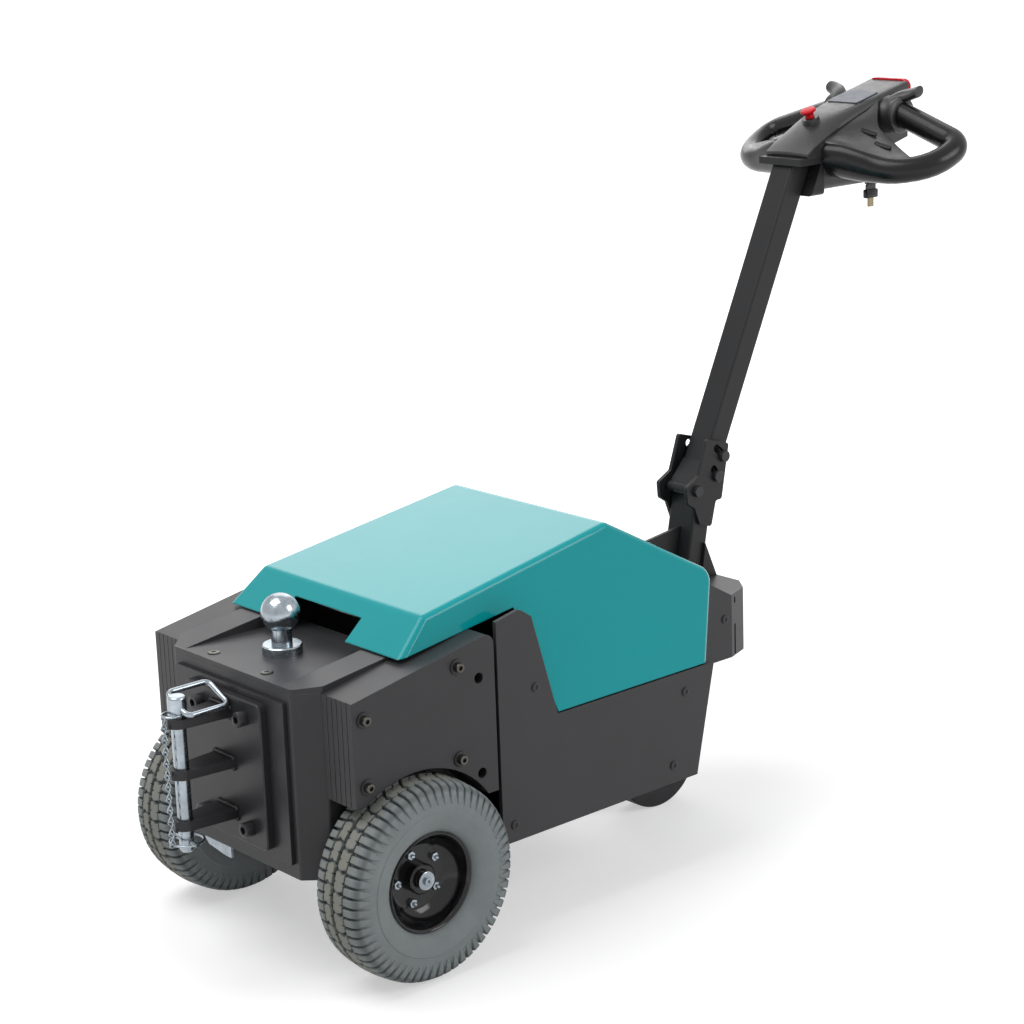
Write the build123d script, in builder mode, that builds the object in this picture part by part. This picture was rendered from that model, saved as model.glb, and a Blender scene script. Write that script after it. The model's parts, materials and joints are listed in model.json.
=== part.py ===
"""Compact pedestrian tow tractor: two driven tyres, ballast, hitch, hood, castor and tiller.

Millimetres. +X runs from the hitch to the tiller, +Z is up, the wheels stand on z = 0.
Left is the operator's left when facing the hitch, the -Y side.
Names that end in _x are distances behind the drive axle, names that end in _z are heights.
"""

import math
import os

from build123d import *

os.makedirs("parts", exist_ok=True)

# Place of the drive axle, which puts the middle of the machine's length at x = 0
axle_x = -455.25

# Fits and clearances
seat_gap = 0.3
pin_clearance = 0.05
hood_gap = 2.0
tyre_gap = 5.5
arch_gap = 9.5

# Hitch box and coupling deck
box_front_x = -120.0
box_rear_x = 130.0
box_half_width = 152.5
box_corner_x = 30.0
box_corner_y = 27.5
box_bend = 6.0
box_bottom_z = 138.5
box_wall = 5.0
deck_z = 387.0
deck_thick = 6.0
deck_rear_x = 60.0
ramp_inner_y = 105.0
ramp_start_x = -116.0
ramp_top_x = 7.0
ramp_rise = 16.0
axle_notch_radius = 36.0

# Hitch plates, lugs and pin
front_plate_thick = 5.6
front_plate_half_width = 116.0
front_plate_bottom_z = 156.0
front_plate_top_z = 368.0
front_plate_corner = 4.0
hitch_plate_thick = 10.5
hitch_plate_half_width = 81.5
hitch_plate_bottom_z = 167.0
hitch_plate_top_z = 359.0
hitch_plate_corner = 10.0
hitch_plate_bevel = 1.5
lug_half_width = 21.5
lug_tip_radius = 15.0
lug_thick = 12.0
lug_bottom_z = 197.0
lug_pitch = 67.0
lug_count = 3
pin_x = -201.0
pin_radius = 9.5
pin_tip = 14.0
pin_bevel = 3.0
pin_head_radius = 12.0
pin_head_height = 24.0
pin_head_round = 4.0
ring_wire = 2.75
ring_width = 48.0
ring_bend = 9.0
ring_roll = 25.0

# Safety chain from an eye under the pin's head to the linch pin through its foot
eye_wire = 1.6
eye_bend = 12.0
chain_reach = 21.0
link_wire = 1.3
link_bend = 4.2
link_straight = 9.8
link_count = 11
wire_sides = 6
linch_radius = 3.0
linch_wire = 1.5
linch_end = 3.0

# Tow ball
ball_x = -39.0
ball_radius = 25.0
ball_z = 440.0
neck_radius = 13.5
collar_radius = 26.0
collar_height = 12.0
collar_bevel = 1.5

# Ballast blocks of stacked plates beside the hitch box, cut to an arch over the tyre
block_thick = 58.5
block_front_x = -93.0
block_rear_x = 132.0
block_front_bottom_z = 247.0
block_tab_z = 210.0
block_front_top_z = 381.5
block_rear_top_z = 421.0
block_corner = 14.0
block_plates = 6
seam_width = 0.9
seam_depth = 1.6
spare_hole_radius = 7.0
spare_hole_x = 106.0
spare_hole_low_z = 240.0
spare_hole_high_z = 365.5
side_y = box_half_width + block_thick

# Drive wheels
tyre_radius = 130.5
tyre_width = 85.0
shoulder_y = 39.0
shoulder_drop = 8.5
sidewall_radius = 98.0
bead_radius = 51.8
bead_rise = 1.0
flange_radius = 63.0
flange_y = 31.0
flange_thick = 3.0
rim_wall = 3.0
dish_slope = 9.0
disc_thick = 6.0
hub_radius = 20.0
hub_outer_y = 16.0
hub_inner_y = 34.0
hub_bevel = 2.0
hub_cap_radius = 11.0
hub_cap_height = 5.0
stub_radius = 12.5
stub_length = 22.0
axle_z = tyre_radius
wheel_y = box_half_width + tyre_gap + tyre_width / 2
arch_radius = tyre_radius + arch_gap

# Side panels
panel_thick = 6.0
panel_front_x = 137.0
panel_bottom_z = 132.0
panel_front_top_z = 430.7
panel_spike_x = 177.0
panel_spike_z = 438.6
panel_spike_round = 14.0
panel_slant_top_x = 196.0
panel_slant_top_z = 425.0
panel_slant_bottom_x = 236.0
panel_cut_z = 285.0
panel_rear_bottom_x = 487.0
panel_rear_top_x = 522.0

# Hood
hood_wall = 3.0
hood_front_x = 7.0
hood_front_z = 405.0
hood_brow_x = 56.0
hood_brow_rise = 43.0
hood_ridge_x = 380.0
hood_ridge_rise = 52.0
hood_rear_x = 553.4
hood_rear_z = 400.0
hood_foot_x = 512.6
hood_eave_z = 428.6
hood_lean = 0.2547
hood_edge_round = 9.0
hood_bend = 14.0
hood_tail_bend = 22.0
notch_half_width = 70.0
notch_top_z = 430.0
notch_depth_x = 45.0

# Chassis tray, battery and drive unit
tray_plate = 6.0
swing_gap = 35.0
tray_front_top_z = 380.0
tray_rear_top_z = 282.0
battery_length = 240.0
battery_half_width = 140.0
battery_height = 180.0
battery_front_x = 190.0
battery_round = 6.0
axle_tube_radius = 24.0
axle_tube_gap = 16.5
gear_case_radius = 56.0
gear_case_half = 48.0
gear_case_bevel = 8.0
motor_radius = 46.0

# Tail box behind the hood
tail_half_width = 118.0
tail_rear_x = 714.5
tail_bottom_z = 238.0
tail_top_z = 330.0
tail_flat_x = 654.0
tail_front_z = 390.0
tail_cheek_x = 693.0
tail_cheek_y = 103.5
tail_corner_y = 75.0
tail_bend = 6.0
tail_wall = 4.0
tail_slot_x = 664.0
tail_slot_width = 4.0
tail_slots_z = ((240.0, 285.0), (316.0, 325.0))

# Castor under the tail box
castor_x = 645.0
castor_trail = 45.0
castor_radius = 75.0
castor_width = 42.0
castor_tread_round = 4.0
castor_rim_radius = 49.0
castor_rim_lip = 5.0
castor_web_half = 6.0
castor_web_drop = 10.0
castor_hub_radius = 18.0
castor_bore_radius = 8.0
castor_plate_length = 110.0
castor_plate_width = 96.0
castor_plate_thick = 8.0
castor_head_radius = 34.0
castor_head_bevel = 6.0
castor_crown_radius = 38.0
castor_crown_z = 178.0
castor_crown_thick = 7.0
castor_kingpin_radius = 8.0
castor_leg_gap = 6.0
castor_leg_thick = 5.0
castor_leg_top = 24.0
castor_leg_foot = 14.0
castor_nut_radius = 11.0
castor_nut_height = 5.0

# Tiller foot: lower tube and gussets on the tail box
foot_half_width = 25.0
foot_depth = 34.0
foot_round = 4.0
foot_x = 672.0
foot_tan = 0.204
foot_top_z = 452.0
foot_wall = 4.0
gusset_thick = 5.0
fin_top_z = 407.0
fin_knee_x = 610.0
fin_knee_z = 399.6
fin_toe_x = 553.0
fin_toe_z = 391.5
gusset_top_x = 692.5
gusset_top_z = 382.0
gusset_front_x = 684.0

# Tiller hinge
hinge_x = 675.0
hinge_z = 463.0
hinge_plate_thick = 6.0
hinge_plate_round = 4.5
hinge_pin_radius = 5.0
clamp_spots = ((43.7, 20.1), (69.2, 37.4))
clamp_travel = 16.0
clamp_bolt_radius = 5.0
clamp_slot_clearance = 0.8
clamp_head_radius = 8.5
clamp_head_height = 6.0
clamp_head_bevel = 1.0

# Tiller tube
tiller_half_width = 20.5
tiller_depth = 36.0
tiller_round = 4.0
tiller_wall = 3.0
tiller_tan = 0.474
tiller_mid_x = 760.7
tiller_mid_z = 585.0
tiller_bottom_z = 474.0
tiller_top_z = 905.0
sleeve_radius = 8.5
sleeve_web_rise = 26.0

# Control head
head_half_width = 40.0
head_seam_z = 915.0
head_chin_z = 866.0
head_chin_x = 1066.0
head_jaw_x = 1082.0
head_tail_z = 926.0
head_chin_round = 8.0
bracket_front_x = 886.0
bracket_rear_x = 938.0
bracket_bottom_z = 859.0
bracket_round = 6.0
belly_half_width = 36.5
belly_bottom_z = 956.0
belly_top_z = 1010.0
belly_depth = 14.0
belly_corner = 12.0
belly_round = 5.0

# Grip loops, drawn on a plane that climbs rearward and falls away outward
loop_x = 969.0
loop_y = 100.0
loop_z = 902.0
loop_climb = 0.468
loop_fall = 0.28
grip_radius = 15.0
grip_root_height = 46.0
grip_root_width = 34.0
grip_elbow_bend = 80.0
grip_corner_bend = 24.0
grip_root_run = 96.0
grip_cut_height = 400.0

# Throttles, emergency stop, display and key
throttle_x = 1080.0
throttle_z = 963.0
throttle_radius = 27.0
throttle_bevel = 3.0
throttle_outer_y = 68.0
lever_x = 1066.0
lever_z = 986.0
lever_rise = 23.0
lever_thick = 8.0
lever_round = 3.5
stop_x = 954.0
stop_lean = 21.0
stop_collar_radius = 13.0
stop_collar_height = 6.0
stop_stem_radius = 8.0
stop_stem_height = 4.0
stop_radius = 11.5
stop_height = 9.0
stop_round = 3.5
display_front_x = 1022.0
display_length = 51.0
display_half_width = 29.0
display_corner = 4.0
display_thick = 2.0
key_x = 1053.0
key_y = 29.0
key_barrel_radius = 9.0
key_barrel_height = 4.0
key_bow_length = 20.0
key_bow_thick = 3.0
key_bow_height = 20.0
key_tag_length = 10.0
key_tag_height = 14.0

sides = (("left", -1), ("right", 1))
lengthwise = Plane(origin=(axle_x, 0, 0), x_dir=(1, 0, 0), z_dir=(0, -1, 0))


def level(z):
    """Level plane at a height, its origin over the drive axle."""
    return Plane(origin=(axle_x, 0, z))


def upright(x):
    """Upright plane across the machine, at a distance behind the drive axle."""
    return Plane(origin=(axle_x + x, 0, 0), x_dir=(0, 1, 0), z_dir=(1, 0, 0))


def side_plane(side, inner, outer):
    """Upright lengthwise plane from which a piece between two distances from the middle is drawn."""
    return lengthwise.offset(-max(side * inner, side * outer))


def leaning(x, z, tangent):
    """Plane across a tube that leans rearward from a point on its middle line."""
    return Plane(origin=(axle_x + x, 0, z), x_dir=(0, 1, 0), z_dir=(tangent, 0, 1))


# Hitch box: folded sheet with a chamfered nose, open at the back and below
box_plan = [
    (box_rear_x, -box_half_width),
    (box_front_x + box_corner_x, -box_half_width),
    (box_front_x, -box_half_width + box_corner_y),
    (box_front_x, box_half_width - box_corner_y),
    (box_front_x + box_corner_x, box_half_width),
    (box_rear_x, box_half_width),
]
nose_count = len(box_plan) - 2
with BuildPart() as hitch_box:
    with BuildSketch(level(box_bottom_z)) as box_outline:
        with BuildLine():
            Polyline(*box_plan, close=True)
        make_face()
        fillet(box_outline.vertices().sort_by(Axis.X)[:nose_count], radius=box_bend)
    extrude(amount=deck_z - deck_thick - box_bottom_z)
    with BuildSketch(level(box_bottom_z)):
        with BuildLine():
            Polyline(
                (box_rear_x, -box_half_width + box_wall),
                (box_front_x + box_corner_x, -box_half_width + box_wall),
                (box_front_x + box_wall, -box_half_width + box_corner_y),
                (box_front_x + box_wall, box_half_width - box_corner_y),
                (box_front_x + box_corner_x, box_half_width - box_wall),
                (box_rear_x, box_half_width - box_wall),
                close=True,
            )
        make_face()
    extrude(amount=deck_z, mode=Mode.SUBTRACT)
    with BuildSketch(lengthwise):
        with Locations((0, axle_z)):
            Circle(axle_notch_radius)
    extrude(amount=box_half_width, both=True, mode=Mode.SUBTRACT)
hitch_box.part.label = "hitch_box"
export_step(hitch_box.part, "parts/hitch_box.step")

# Coupling deck: flat in the middle, with a ramp up to the hood on each side
with BuildPart() as coupling_deck:
    with BuildSketch(level(deck_z - deck_thick)) as deck_outline:
        with BuildLine():
            Polyline(*[(min(x, deck_rear_x), y) for x, y in box_plan], close=True)
        make_face()
        fillet(deck_outline.vertices().sort_by(Axis.X)[:nose_count], radius=box_bend)
    extrude(amount=deck_thick + ramp_rise)
    with BuildSketch(level(deck_z)):
        with Locations(((box_front_x + deck_rear_x) / 2, 0)):
            Rectangle(deck_rear_x - box_front_x, 2 * ramp_inner_y)
    extrude(amount=ramp_rise, mode=Mode.SUBTRACT)
    with BuildSketch(lengthwise):
        with BuildLine():
            Polyline(
                (box_front_x, deck_z),
                (ramp_start_x, deck_z),
                (ramp_top_x, deck_z + ramp_rise),
                (box_front_x, deck_z + ramp_rise),
                close=True,
            )
        make_face()
    extrude(amount=box_half_width, both=True, mode=Mode.SUBTRACT)
coupling_deck.part.label = "coupling_deck"
export_step(coupling_deck.part, "parts/coupling_deck.step")

# Front plate on the box and hitch plate on that
front_plate_x = box_front_x - front_plate_thick
with BuildPart() as front_plate:
    with BuildSketch(upright(front_plate_x)):
        with Locations((0, (front_plate_bottom_z + front_plate_top_z) / 2)):
            RectangleRounded(
                2 * front_plate_half_width,
                front_plate_top_z - front_plate_bottom_z,
                front_plate_corner,
            )
    extrude(amount=front_plate_thick)
front_plate.part.label = "front_plate"
export_step(front_plate.part, "parts/front_plate.step")

hitch_face_x = front_plate_x - hitch_plate_thick
with BuildPart() as hitch_plate:
    with BuildSketch(upright(hitch_face_x)):
        with Locations((0, (hitch_plate_bottom_z + hitch_plate_top_z) / 2)):
            RectangleRounded(
                2 * hitch_plate_half_width,
                hitch_plate_top_z - hitch_plate_bottom_z,
                hitch_plate_corner,
            )
    extrude(amount=hitch_plate_thick)
    chamfer(hitch_plate.faces().sort_by(Axis.X)[0].edges(), length=hitch_plate_bevel)
hitch_plate.part.label = "hitch_plate"
export_step(hitch_plate.part, "parts/hitch_plate.step")

# Drawbar lugs, tapered to a round eye for the pin
lug_bottoms_z = [lug_bottom_z + place * lug_pitch for place in range(lug_count)]
with BuildPart() as hitch_lugs:
    for lug_z in lug_bottoms_z:
        with BuildSketch(level(lug_z)):
            with BuildLine():
                Polyline(
                    (hitch_face_x, -lug_half_width),
                    (pin_x, -lug_tip_radius),
                    (pin_x, lug_tip_radius),
                    (hitch_face_x, lug_half_width),
                    close=True,
                )
            make_face()
            with Locations((pin_x, 0)):
                Circle(lug_tip_radius)
                Circle(pin_radius + seat_gap, mode=Mode.SUBTRACT)
        extrude(amount=lug_thick)
hitch_lugs.part.label = "hitch_lugs"
export_step(hitch_lugs.part, "parts/hitch_lugs.step")

# Heights down the pin: eye on the upper lug, chain, linch pin at the chain's end
lug_top_z = lug_bottoms_z[-1] + lug_thick
eye_z = lug_top_z + seat_gap + eye_wire
pin_seat_z = eye_z + eye_wire + seat_gap
ring_z = pin_seat_z + pin_head_height / 2
link_half = link_straight / 2 + link_bend
link_pitch = 2 * (link_half - link_wire) - seat_gap
link_top_z = eye_z + eye_wire + seat_gap + link_wire - link_half
linch_z = link_top_z - (link_count - 1) * link_pitch - link_half + link_wire + seat_gap + linch_wire
pin_bottom_z = linch_z - pin_tip
ring_plane = Plane(origin=(axle_x + pin_x, 0, ring_z)).rotated((ring_roll, 0, 0))

# Tow pin: plain shank, cross-drilled at its foot, with a head that takes the pull ring
with BuildPart() as tow_pin:
    with BuildSketch(level(pin_bottom_z)):
        with Locations((pin_x, 0)):
            Circle(pin_radius)
    extrude(amount=pin_seat_z - pin_bottom_z)
    chamfer(tow_pin.faces().sort_by(Axis.Z)[0].edges(), length=pin_bevel)
    with BuildSketch(level(pin_seat_z)):
        with Locations((pin_x, 0)):
            Circle(pin_head_radius)
    extrude(amount=pin_head_height)
    fillet(tow_pin.faces().sort_by(Axis.Z)[-1].edges(), radius=pin_head_round)
    with BuildSketch(Plane(origin=ring_plane.origin, x_dir=(1, 0, 0), z_dir=ring_plane.y_dir)):
        Circle(ring_wire + seat_gap)
    extrude(amount=2 * pin_head_radius, both=True, mode=Mode.SUBTRACT)
    with BuildSketch(lengthwise):
        with Locations((pin_x, linch_z)):
            Circle(linch_radius + seat_gap)
    extrude(amount=pin_radius, both=True, mode=Mode.SUBTRACT)
tow_pin.part.label = "tow_pin"
export_step(tow_pin.part, "parts/tow_pin.step")

# Pull ring through the pin's head, lying back against the hitch plate
ring_length = hitch_face_x - pin_x - ring_wire - seat_gap
with BuildPart() as pin_ring:
    with BuildLine(ring_plane) as ring_path:
        ring_line = FilletPolyline(
            (0, ring_width / 2),
            (ring_length, ring_width / 2),
            (ring_length, -ring_width / 2),
            (0, -ring_width / 2),
            radius=ring_bend,
            close=True,
        )
    with BuildSketch(Plane(origin=ring_line @ 0, z_dir=ring_line % 0)):
        Circle(ring_wire)
    sweep(path=ring_path.line)
pin_ring.part.label = "pin_ring"
export_step(pin_ring.part, "parts/pin_ring.step")

# Linch pin with its spring ring, through the tow pin's foot
with BuildPart() as linch_pin:
    with BuildSketch(lengthwise):
        with Locations((pin_x, linch_z)):
            Circle(linch_radius)
    extrude(amount=chain_reach + linch_end, both=True)
    with Locations((axle_x + pin_x, 0, linch_z)):
        Torus(chain_reach, linch_wire)
linch_pin.part.label = "linch_pin"
export_step(linch_pin.part, "parts/linch_pin.step")

# Safety chain: long eye round the pin, then oval links hanging one in another
eye_plane = Plane(origin=(axle_x + pin_x, 0, eye_z), x_dir=(0, 1, 0), z_dir=(0, 0, 1))
link_planes = [
    Plane(
        origin=(axle_x + pin_x - chain_reach, 0, link_top_z - place * link_pitch),
        x_dir=(0, 1, 0) if place % 2 else (1, 0, 0),
        z_dir=(1, 0, 0) if place % 2 else (0, -1, 0),
    )
    for place in range(link_count)
]
# Each loop: its plane, wire radius, bend radius, and where its straight run begins and ends
chain_loops = [(eye_plane, eye_wire, eye_bend, 0.0, chain_reach - eye_bend)]
chain_loops += [(plane, link_wire, link_bend, -link_straight / 2, link_straight / 2) for plane in link_planes]
with BuildPart() as safety_chain:
    for plane, wire, bend, start, end in chain_loops:
        with BuildLine(plane) as loop_path:
            loop_side = Line((bend, start), (bend, end))
            ThreePointArc((bend, end), (0, end + bend), (-bend, end))
            Line((-bend, end), (-bend, start))
            ThreePointArc((-bend, start), (0, start - bend), (bend, start))
        with BuildSketch(Plane(origin=loop_side @ 0, z_dir=loop_side % 0)):
            RegularPolygon(wire, wire_sides)
        sweep(path=loop_path.line)
safety_chain.part.label = "safety_chain"
export_step(safety_chain.part, "parts/safety_chain.step")

# Tow ball with its neck and collar
with BuildPart() as tow_ball:
    with BuildSketch(level(deck_z)):
        with Locations((ball_x, 0)):
            Circle(collar_radius)
    extrude(amount=collar_height)
    chamfer(tow_ball.faces().sort_by(Axis.Z)[-1].edges(), length=collar_bevel)
    with BuildSketch(level(deck_z)):
        with Locations((ball_x, 0)):
            Circle(neck_radius)
    extrude(amount=ball_z - deck_z)
    with Locations((axle_x + ball_x, 0, ball_z)):
        Sphere(ball_radius)
tow_ball.part.label = "tow_ball"
export_step(tow_ball.part, "parts/tow_ball.step")

# Ballast blocks, with the seams of their plates on the front edge
for name, side in sides:
    with BuildPart() as ballast:
        with BuildSketch(side_plane(side, box_half_width, side_y)) as block_outline:
            with BuildLine():
                Polyline(
                    (block_front_x, block_front_bottom_z),
                    (0, block_front_bottom_z),
                    (0, block_tab_z),
                    (block_rear_x, block_tab_z),
                    (block_rear_x, block_rear_top_z),
                    (block_front_x, block_front_top_z),
                    close=True,
                )
            make_face()
            fillet(block_outline.vertices().sort_by(Axis.Y)[-1:], radius=block_corner)
            with Locations((0, axle_z)):
                Circle(arch_radius, mode=Mode.SUBTRACT)
            with Locations((spare_hole_x, spare_hole_low_z), (spare_hole_x, spare_hole_high_z)):
                Circle(spare_hole_radius, mode=Mode.SUBTRACT)
        extrude(amount=block_thick)
        with BuildSketch(level(block_tab_z)):
            for seam in range(1, block_plates):
                seam_y = box_half_width + seam * block_thick / block_plates
                with Locations((block_front_x, side * seam_y)):
                    Rectangle(2 * seam_depth, seam_width)
        extrude(amount=block_rear_top_z - block_tab_z, mode=Mode.SUBTRACT)
    ballast.part.label = f"ballast_{name}"
    export_step(ballast.part, f"parts/ballast_{name}.step")

# Side panels with the cut for the hood's skirt
for name, side in sides:
    with BuildPart() as side_panel:
        with BuildSketch(side_plane(side, side_y - panel_thick, side_y)) as panel_outline:
            with BuildLine():
                Polyline(
                    (panel_front_x, panel_bottom_z),
                    (panel_rear_bottom_x, panel_bottom_z),
                    (panel_rear_top_x, panel_cut_z),
                    (panel_slant_bottom_x, panel_cut_z),
                    (panel_slant_top_x, panel_slant_top_z),
                    (panel_spike_x, panel_spike_z),
                    (panel_front_x, panel_front_top_z),
                    close=True,
                )
            make_face()
            fillet(panel_outline.vertices().sort_by(Axis.Y)[-1:], radius=panel_spike_round)
        extrude(amount=panel_thick)
    side_panel.part.label = f"side_panel_{name}"
    export_step(side_panel.part, f"parts/side_panel_{name}.step")

# Hood: a folded sheet shell with leaning sides, its skirts standing in the panels' cuts
skirt_z = panel_cut_z + hood_gap
brow_z = hood_front_z + hood_brow_rise
ridge_z = brow_z + hood_ridge_rise
brow_slope = (hood_brow_x - hood_front_x) / hood_brow_rise
tail_slope = (hood_rear_x - hood_foot_x) / (hood_rear_z - skirt_z)
hood_toe_x = hood_front_x - brow_slope * (hood_front_z - panel_bottom_z)
hood_heel_x = hood_rear_x - tail_slope * (hood_rear_z - panel_bottom_z)


def hood_half_width(z):
    """Half width of the hood's leaning sides at a height."""
    return side_y - hood_lean * (z - panel_cut_z)


# Outer form and hollow, the same folds at two insets, both run down past the skirts
hood_forms = []
for inset in (0.0, hood_wall):
    with BuildPart() as hood_form:
        with BuildSketch(lengthwise) as hood_profile:
            with BuildLine():
                Polyline(
                    (hood_toe_x, panel_bottom_z),
                    (hood_brow_x, brow_z),
                    (hood_ridge_x, ridge_z),
                    (hood_rear_x, hood_rear_z),
                    (hood_heel_x, panel_bottom_z),
                    close=True,
                )
            make_face()
            folds = hood_profile.vertices().filter_by_position(Axis.Y, panel_bottom_z + hood_wall, ridge_z)
            fillet(folds.sort_by(Axis.X)[:-1], radius=hood_bend)
            tail_fold = hood_profile.vertices().sort_by_distance((hood_rear_x, hood_rear_z))[0]
            fillet(tail_fold, radius=hood_tail_bend)
            if inset:
                offset(amount=-inset, kind=Kind.INTERSECTION, mode=Mode.REPLACE)
        extrude(amount=side_y * 2, both=True)
        wall_y = inset * math.sqrt(1 + hood_lean**2)
        with BuildSketch(upright(hood_toe_x)):
            with BuildLine():
                Polyline(
                    (wall_y - hood_half_width(panel_bottom_z), panel_bottom_z),
                    (hood_half_width(panel_bottom_z) - wall_y, panel_bottom_z),
                    (hood_half_width(ridge_z) - wall_y, ridge_z),
                    (wall_y - hood_half_width(ridge_z), ridge_z),
                    close=True,
                )
            make_face()
        extrude(amount=hood_rear_x - hood_toe_x, mode=Mode.INTERSECT)
        flanks = hood_form.faces().sort_by(Axis.Y)
        flank_edges = flanks[0].edges() + flanks[-1].edges()
        lowest = panel_bottom_z + 2 * hood_wall
        fillet(flank_edges.filter_by(lambda edge: edge.center().Z > lowest), radius=hood_edge_round - inset)
    hood_forms.append(hood_form.part)

with BuildPart() as hood:
    add(hood_forms[0])
    add(hood_forms[1], mode=Mode.SUBTRACT)
    with BuildSketch(lengthwise):
        with BuildLine():
            Polyline(
                (hood_toe_x, panel_bottom_z),
                (hood_toe_x, hood_front_z),
                (hood_front_x, hood_front_z),
                (panel_slant_top_x + hood_gap, hood_eave_z),
                (panel_slant_bottom_x + hood_gap, skirt_z),
                (hood_rear_x, skirt_z),
                (hood_rear_x, panel_bottom_z),
                close=True,
            )
        make_face()
    extrude(amount=side_y * 2, both=True, mode=Mode.SUBTRACT)
    with BuildSketch(level(panel_bottom_z)):
        with Locations(((hood_front_x + notch_depth_x) / 2, 0)):
            Rectangle(notch_depth_x - hood_front_x, 2 * notch_half_width)
    extrude(amount=notch_top_z - panel_bottom_z, mode=Mode.SUBTRACT)
hood.part.label = "hood"
export_step(hood.part, "parts/hood.step")

# Chassis tray: bottom plate between the panels with a bulkhead at each end, clear of the castor's swing
tray_rear_x = castor_x - castor_trail - castor_radius - swing_gap
tray_half_width = side_y - panel_thick
with BuildPart() as chassis_tray:
    with BuildSketch(lengthwise):
        with BuildLine():
            Polyline(
                (box_rear_x, panel_bottom_z),
                (tray_rear_x, panel_bottom_z),
                (tray_rear_x, tray_rear_top_z),
                (tray_rear_x - tray_plate, tray_rear_top_z),
                (tray_rear_x - tray_plate, panel_bottom_z + tray_plate),
                (box_rear_x + tray_plate, panel_bottom_z + tray_plate),
                (box_rear_x + tray_plate, tray_front_top_z),
                (box_rear_x, tray_front_top_z),
                close=True,
            )
        make_face()
    extrude(amount=box_half_width, both=True)
    with BuildSketch(level(panel_bottom_z)):
        with Locations(((panel_front_x + panel_rear_bottom_x) / 2, 0)):
            Rectangle(panel_rear_bottom_x - panel_front_x, 2 * tray_half_width)
    extrude(amount=tray_plate)
chassis_tray.part.label = "chassis_tray"
export_step(chassis_tray.part, "parts/chassis_tray.step")

# Battery block on the tray
with BuildPart() as battery_pack:
    with BuildSketch(level(panel_bottom_z + tray_plate)):
        with Locations((battery_front_x + battery_length / 2, 0)):
            RectangleRounded(battery_length, 2 * battery_half_width, battery_round)
    extrude(amount=battery_height)
battery_pack.part.label = "battery_pack"
export_step(battery_pack.part, "parts/battery_pack.step")

# Drive unit: axle tubes, gear case and motor, bolted against the tray's front bulkhead
axle_tube_half = wheel_y - hub_inner_y - axle_tube_gap
with BuildPart() as drive_unit:
    with BuildSketch(lengthwise):
        with Locations((0, axle_z)):
            Circle(gear_case_radius)
    extrude(amount=gear_case_half, both=True)
    chamfer(drive_unit.edges().filter_by(GeomType.CIRCLE), length=gear_case_bevel)
    with BuildSketch(lengthwise):
        with Locations((0, axle_z)):
            Circle(axle_tube_radius)
    extrude(amount=axle_tube_half, both=True)
    with BuildSketch(upright(0)):
        with Locations((0, axle_z + gear_case_radius)):
            Circle(motor_radius)
    extrude(amount=box_rear_x)
    with BuildSketch(lengthwise):
        with Locations((0, axle_z)):
            Circle(stub_radius + pin_clearance)
    extrude(amount=axle_tube_half, both=True, mode=Mode.SUBTRACT)
drive_unit.part.label = "drive_unit"
export_step(drive_unit.part, "parts/drive_unit.step")

# Drive wheels: tyre, dished rim and hub with its stub shaft
barrel_radius = bead_radius - seat_gap
dish_radius = barrel_radius - rim_wall
bead_y = flange_y - flange_thick - seat_gap
bead_top = flange_radius + bead_rise
shoulder_radius = tyre_radius - shoulder_drop
tyre_half = tyre_width / 2
for name, side in sides:
    wheel_plane = Plane(origin=(axle_x, side * wheel_y, axle_z), x_dir=(1, 0, 0), z_dir=(0, side, 0))
    wheel_section = Plane(origin=wheel_plane.origin, x_dir=(0, side, 0), z_dir=(1, 0, 0))
    wheel_axis = Axis(wheel_plane.origin, (0, 1, 0))
    with BuildPart() as tyre:
        with BuildSketch(wheel_section):
            with BuildLine():
                Polyline(
                    (-bead_y, bead_top),
                    (-bead_y, bead_radius),
                    (bead_y, bead_radius),
                    (bead_y, bead_top),
                )
                ThreePointArc((bead_y, bead_top), (tyre_half, sidewall_radius), (shoulder_y, shoulder_radius))
                ThreePointArc((shoulder_y, shoulder_radius), (0, tyre_radius), (-shoulder_y, shoulder_radius))
                ThreePointArc(
                    (-shoulder_y, shoulder_radius),
                    (-tyre_half, sidewall_radius),
                    (-bead_y, bead_top),
                )
            make_face()
        revolve(axis=wheel_axis)
    tyre.part.label = f"tyre_{name}"
    export_step(tyre.part, f"parts/tyre_{name}.step")

    with BuildPart() as rim:
        with BuildSketch(wheel_section):
            with BuildLine():
                Polyline(
                    (-flange_y, flange_radius),
                    (-flange_y + flange_thick, flange_radius),
                    (-flange_y + flange_thick, barrel_radius),
                    (flange_y - flange_thick, barrel_radius),
                    (flange_y - flange_thick, flange_radius),
                    (flange_y, flange_radius),
                    (flange_y, dish_radius + rim_wall),
                    (flange_y - flange_thick, dish_radius),
                    (disc_thick / 2 + dish_slope, dish_radius),
                    (disc_thick / 2, dish_radius - dish_slope),
                    (disc_thick / 2, hub_radius),
                    (-disc_thick / 2, hub_radius),
                    (-disc_thick / 2, dish_radius - dish_slope),
                    (-disc_thick / 2 - dish_slope, dish_radius),
                    (-flange_y, dish_radius),
                    close=True,
                )
            make_face()
        revolve(axis=wheel_axis)
    rim.part.label = f"rim_{name}"
    export_step(rim.part, f"parts/rim_{name}.step")

    with BuildPart() as hub:
        with BuildSketch(wheel_plane.offset(-hub_inner_y)):
            Circle(hub_radius)
        extrude(amount=hub_inner_y + hub_outer_y)
        chamfer(hub.faces().sort_by(Axis.Y)[-1 if side > 0 else 0].edges(), length=hub_bevel)
        with BuildSketch(wheel_plane.offset(hub_outer_y)):
            Circle(hub_cap_radius)
        extrude(amount=hub_cap_height)
        with BuildSketch(wheel_plane.offset(-hub_inner_y - stub_length)):
            Circle(stub_radius)
        extrude(amount=stub_length)
    hub.part.label = f"hub_{name}"
    export_step(hub.part, f"parts/hub_{name}.step")

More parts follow.
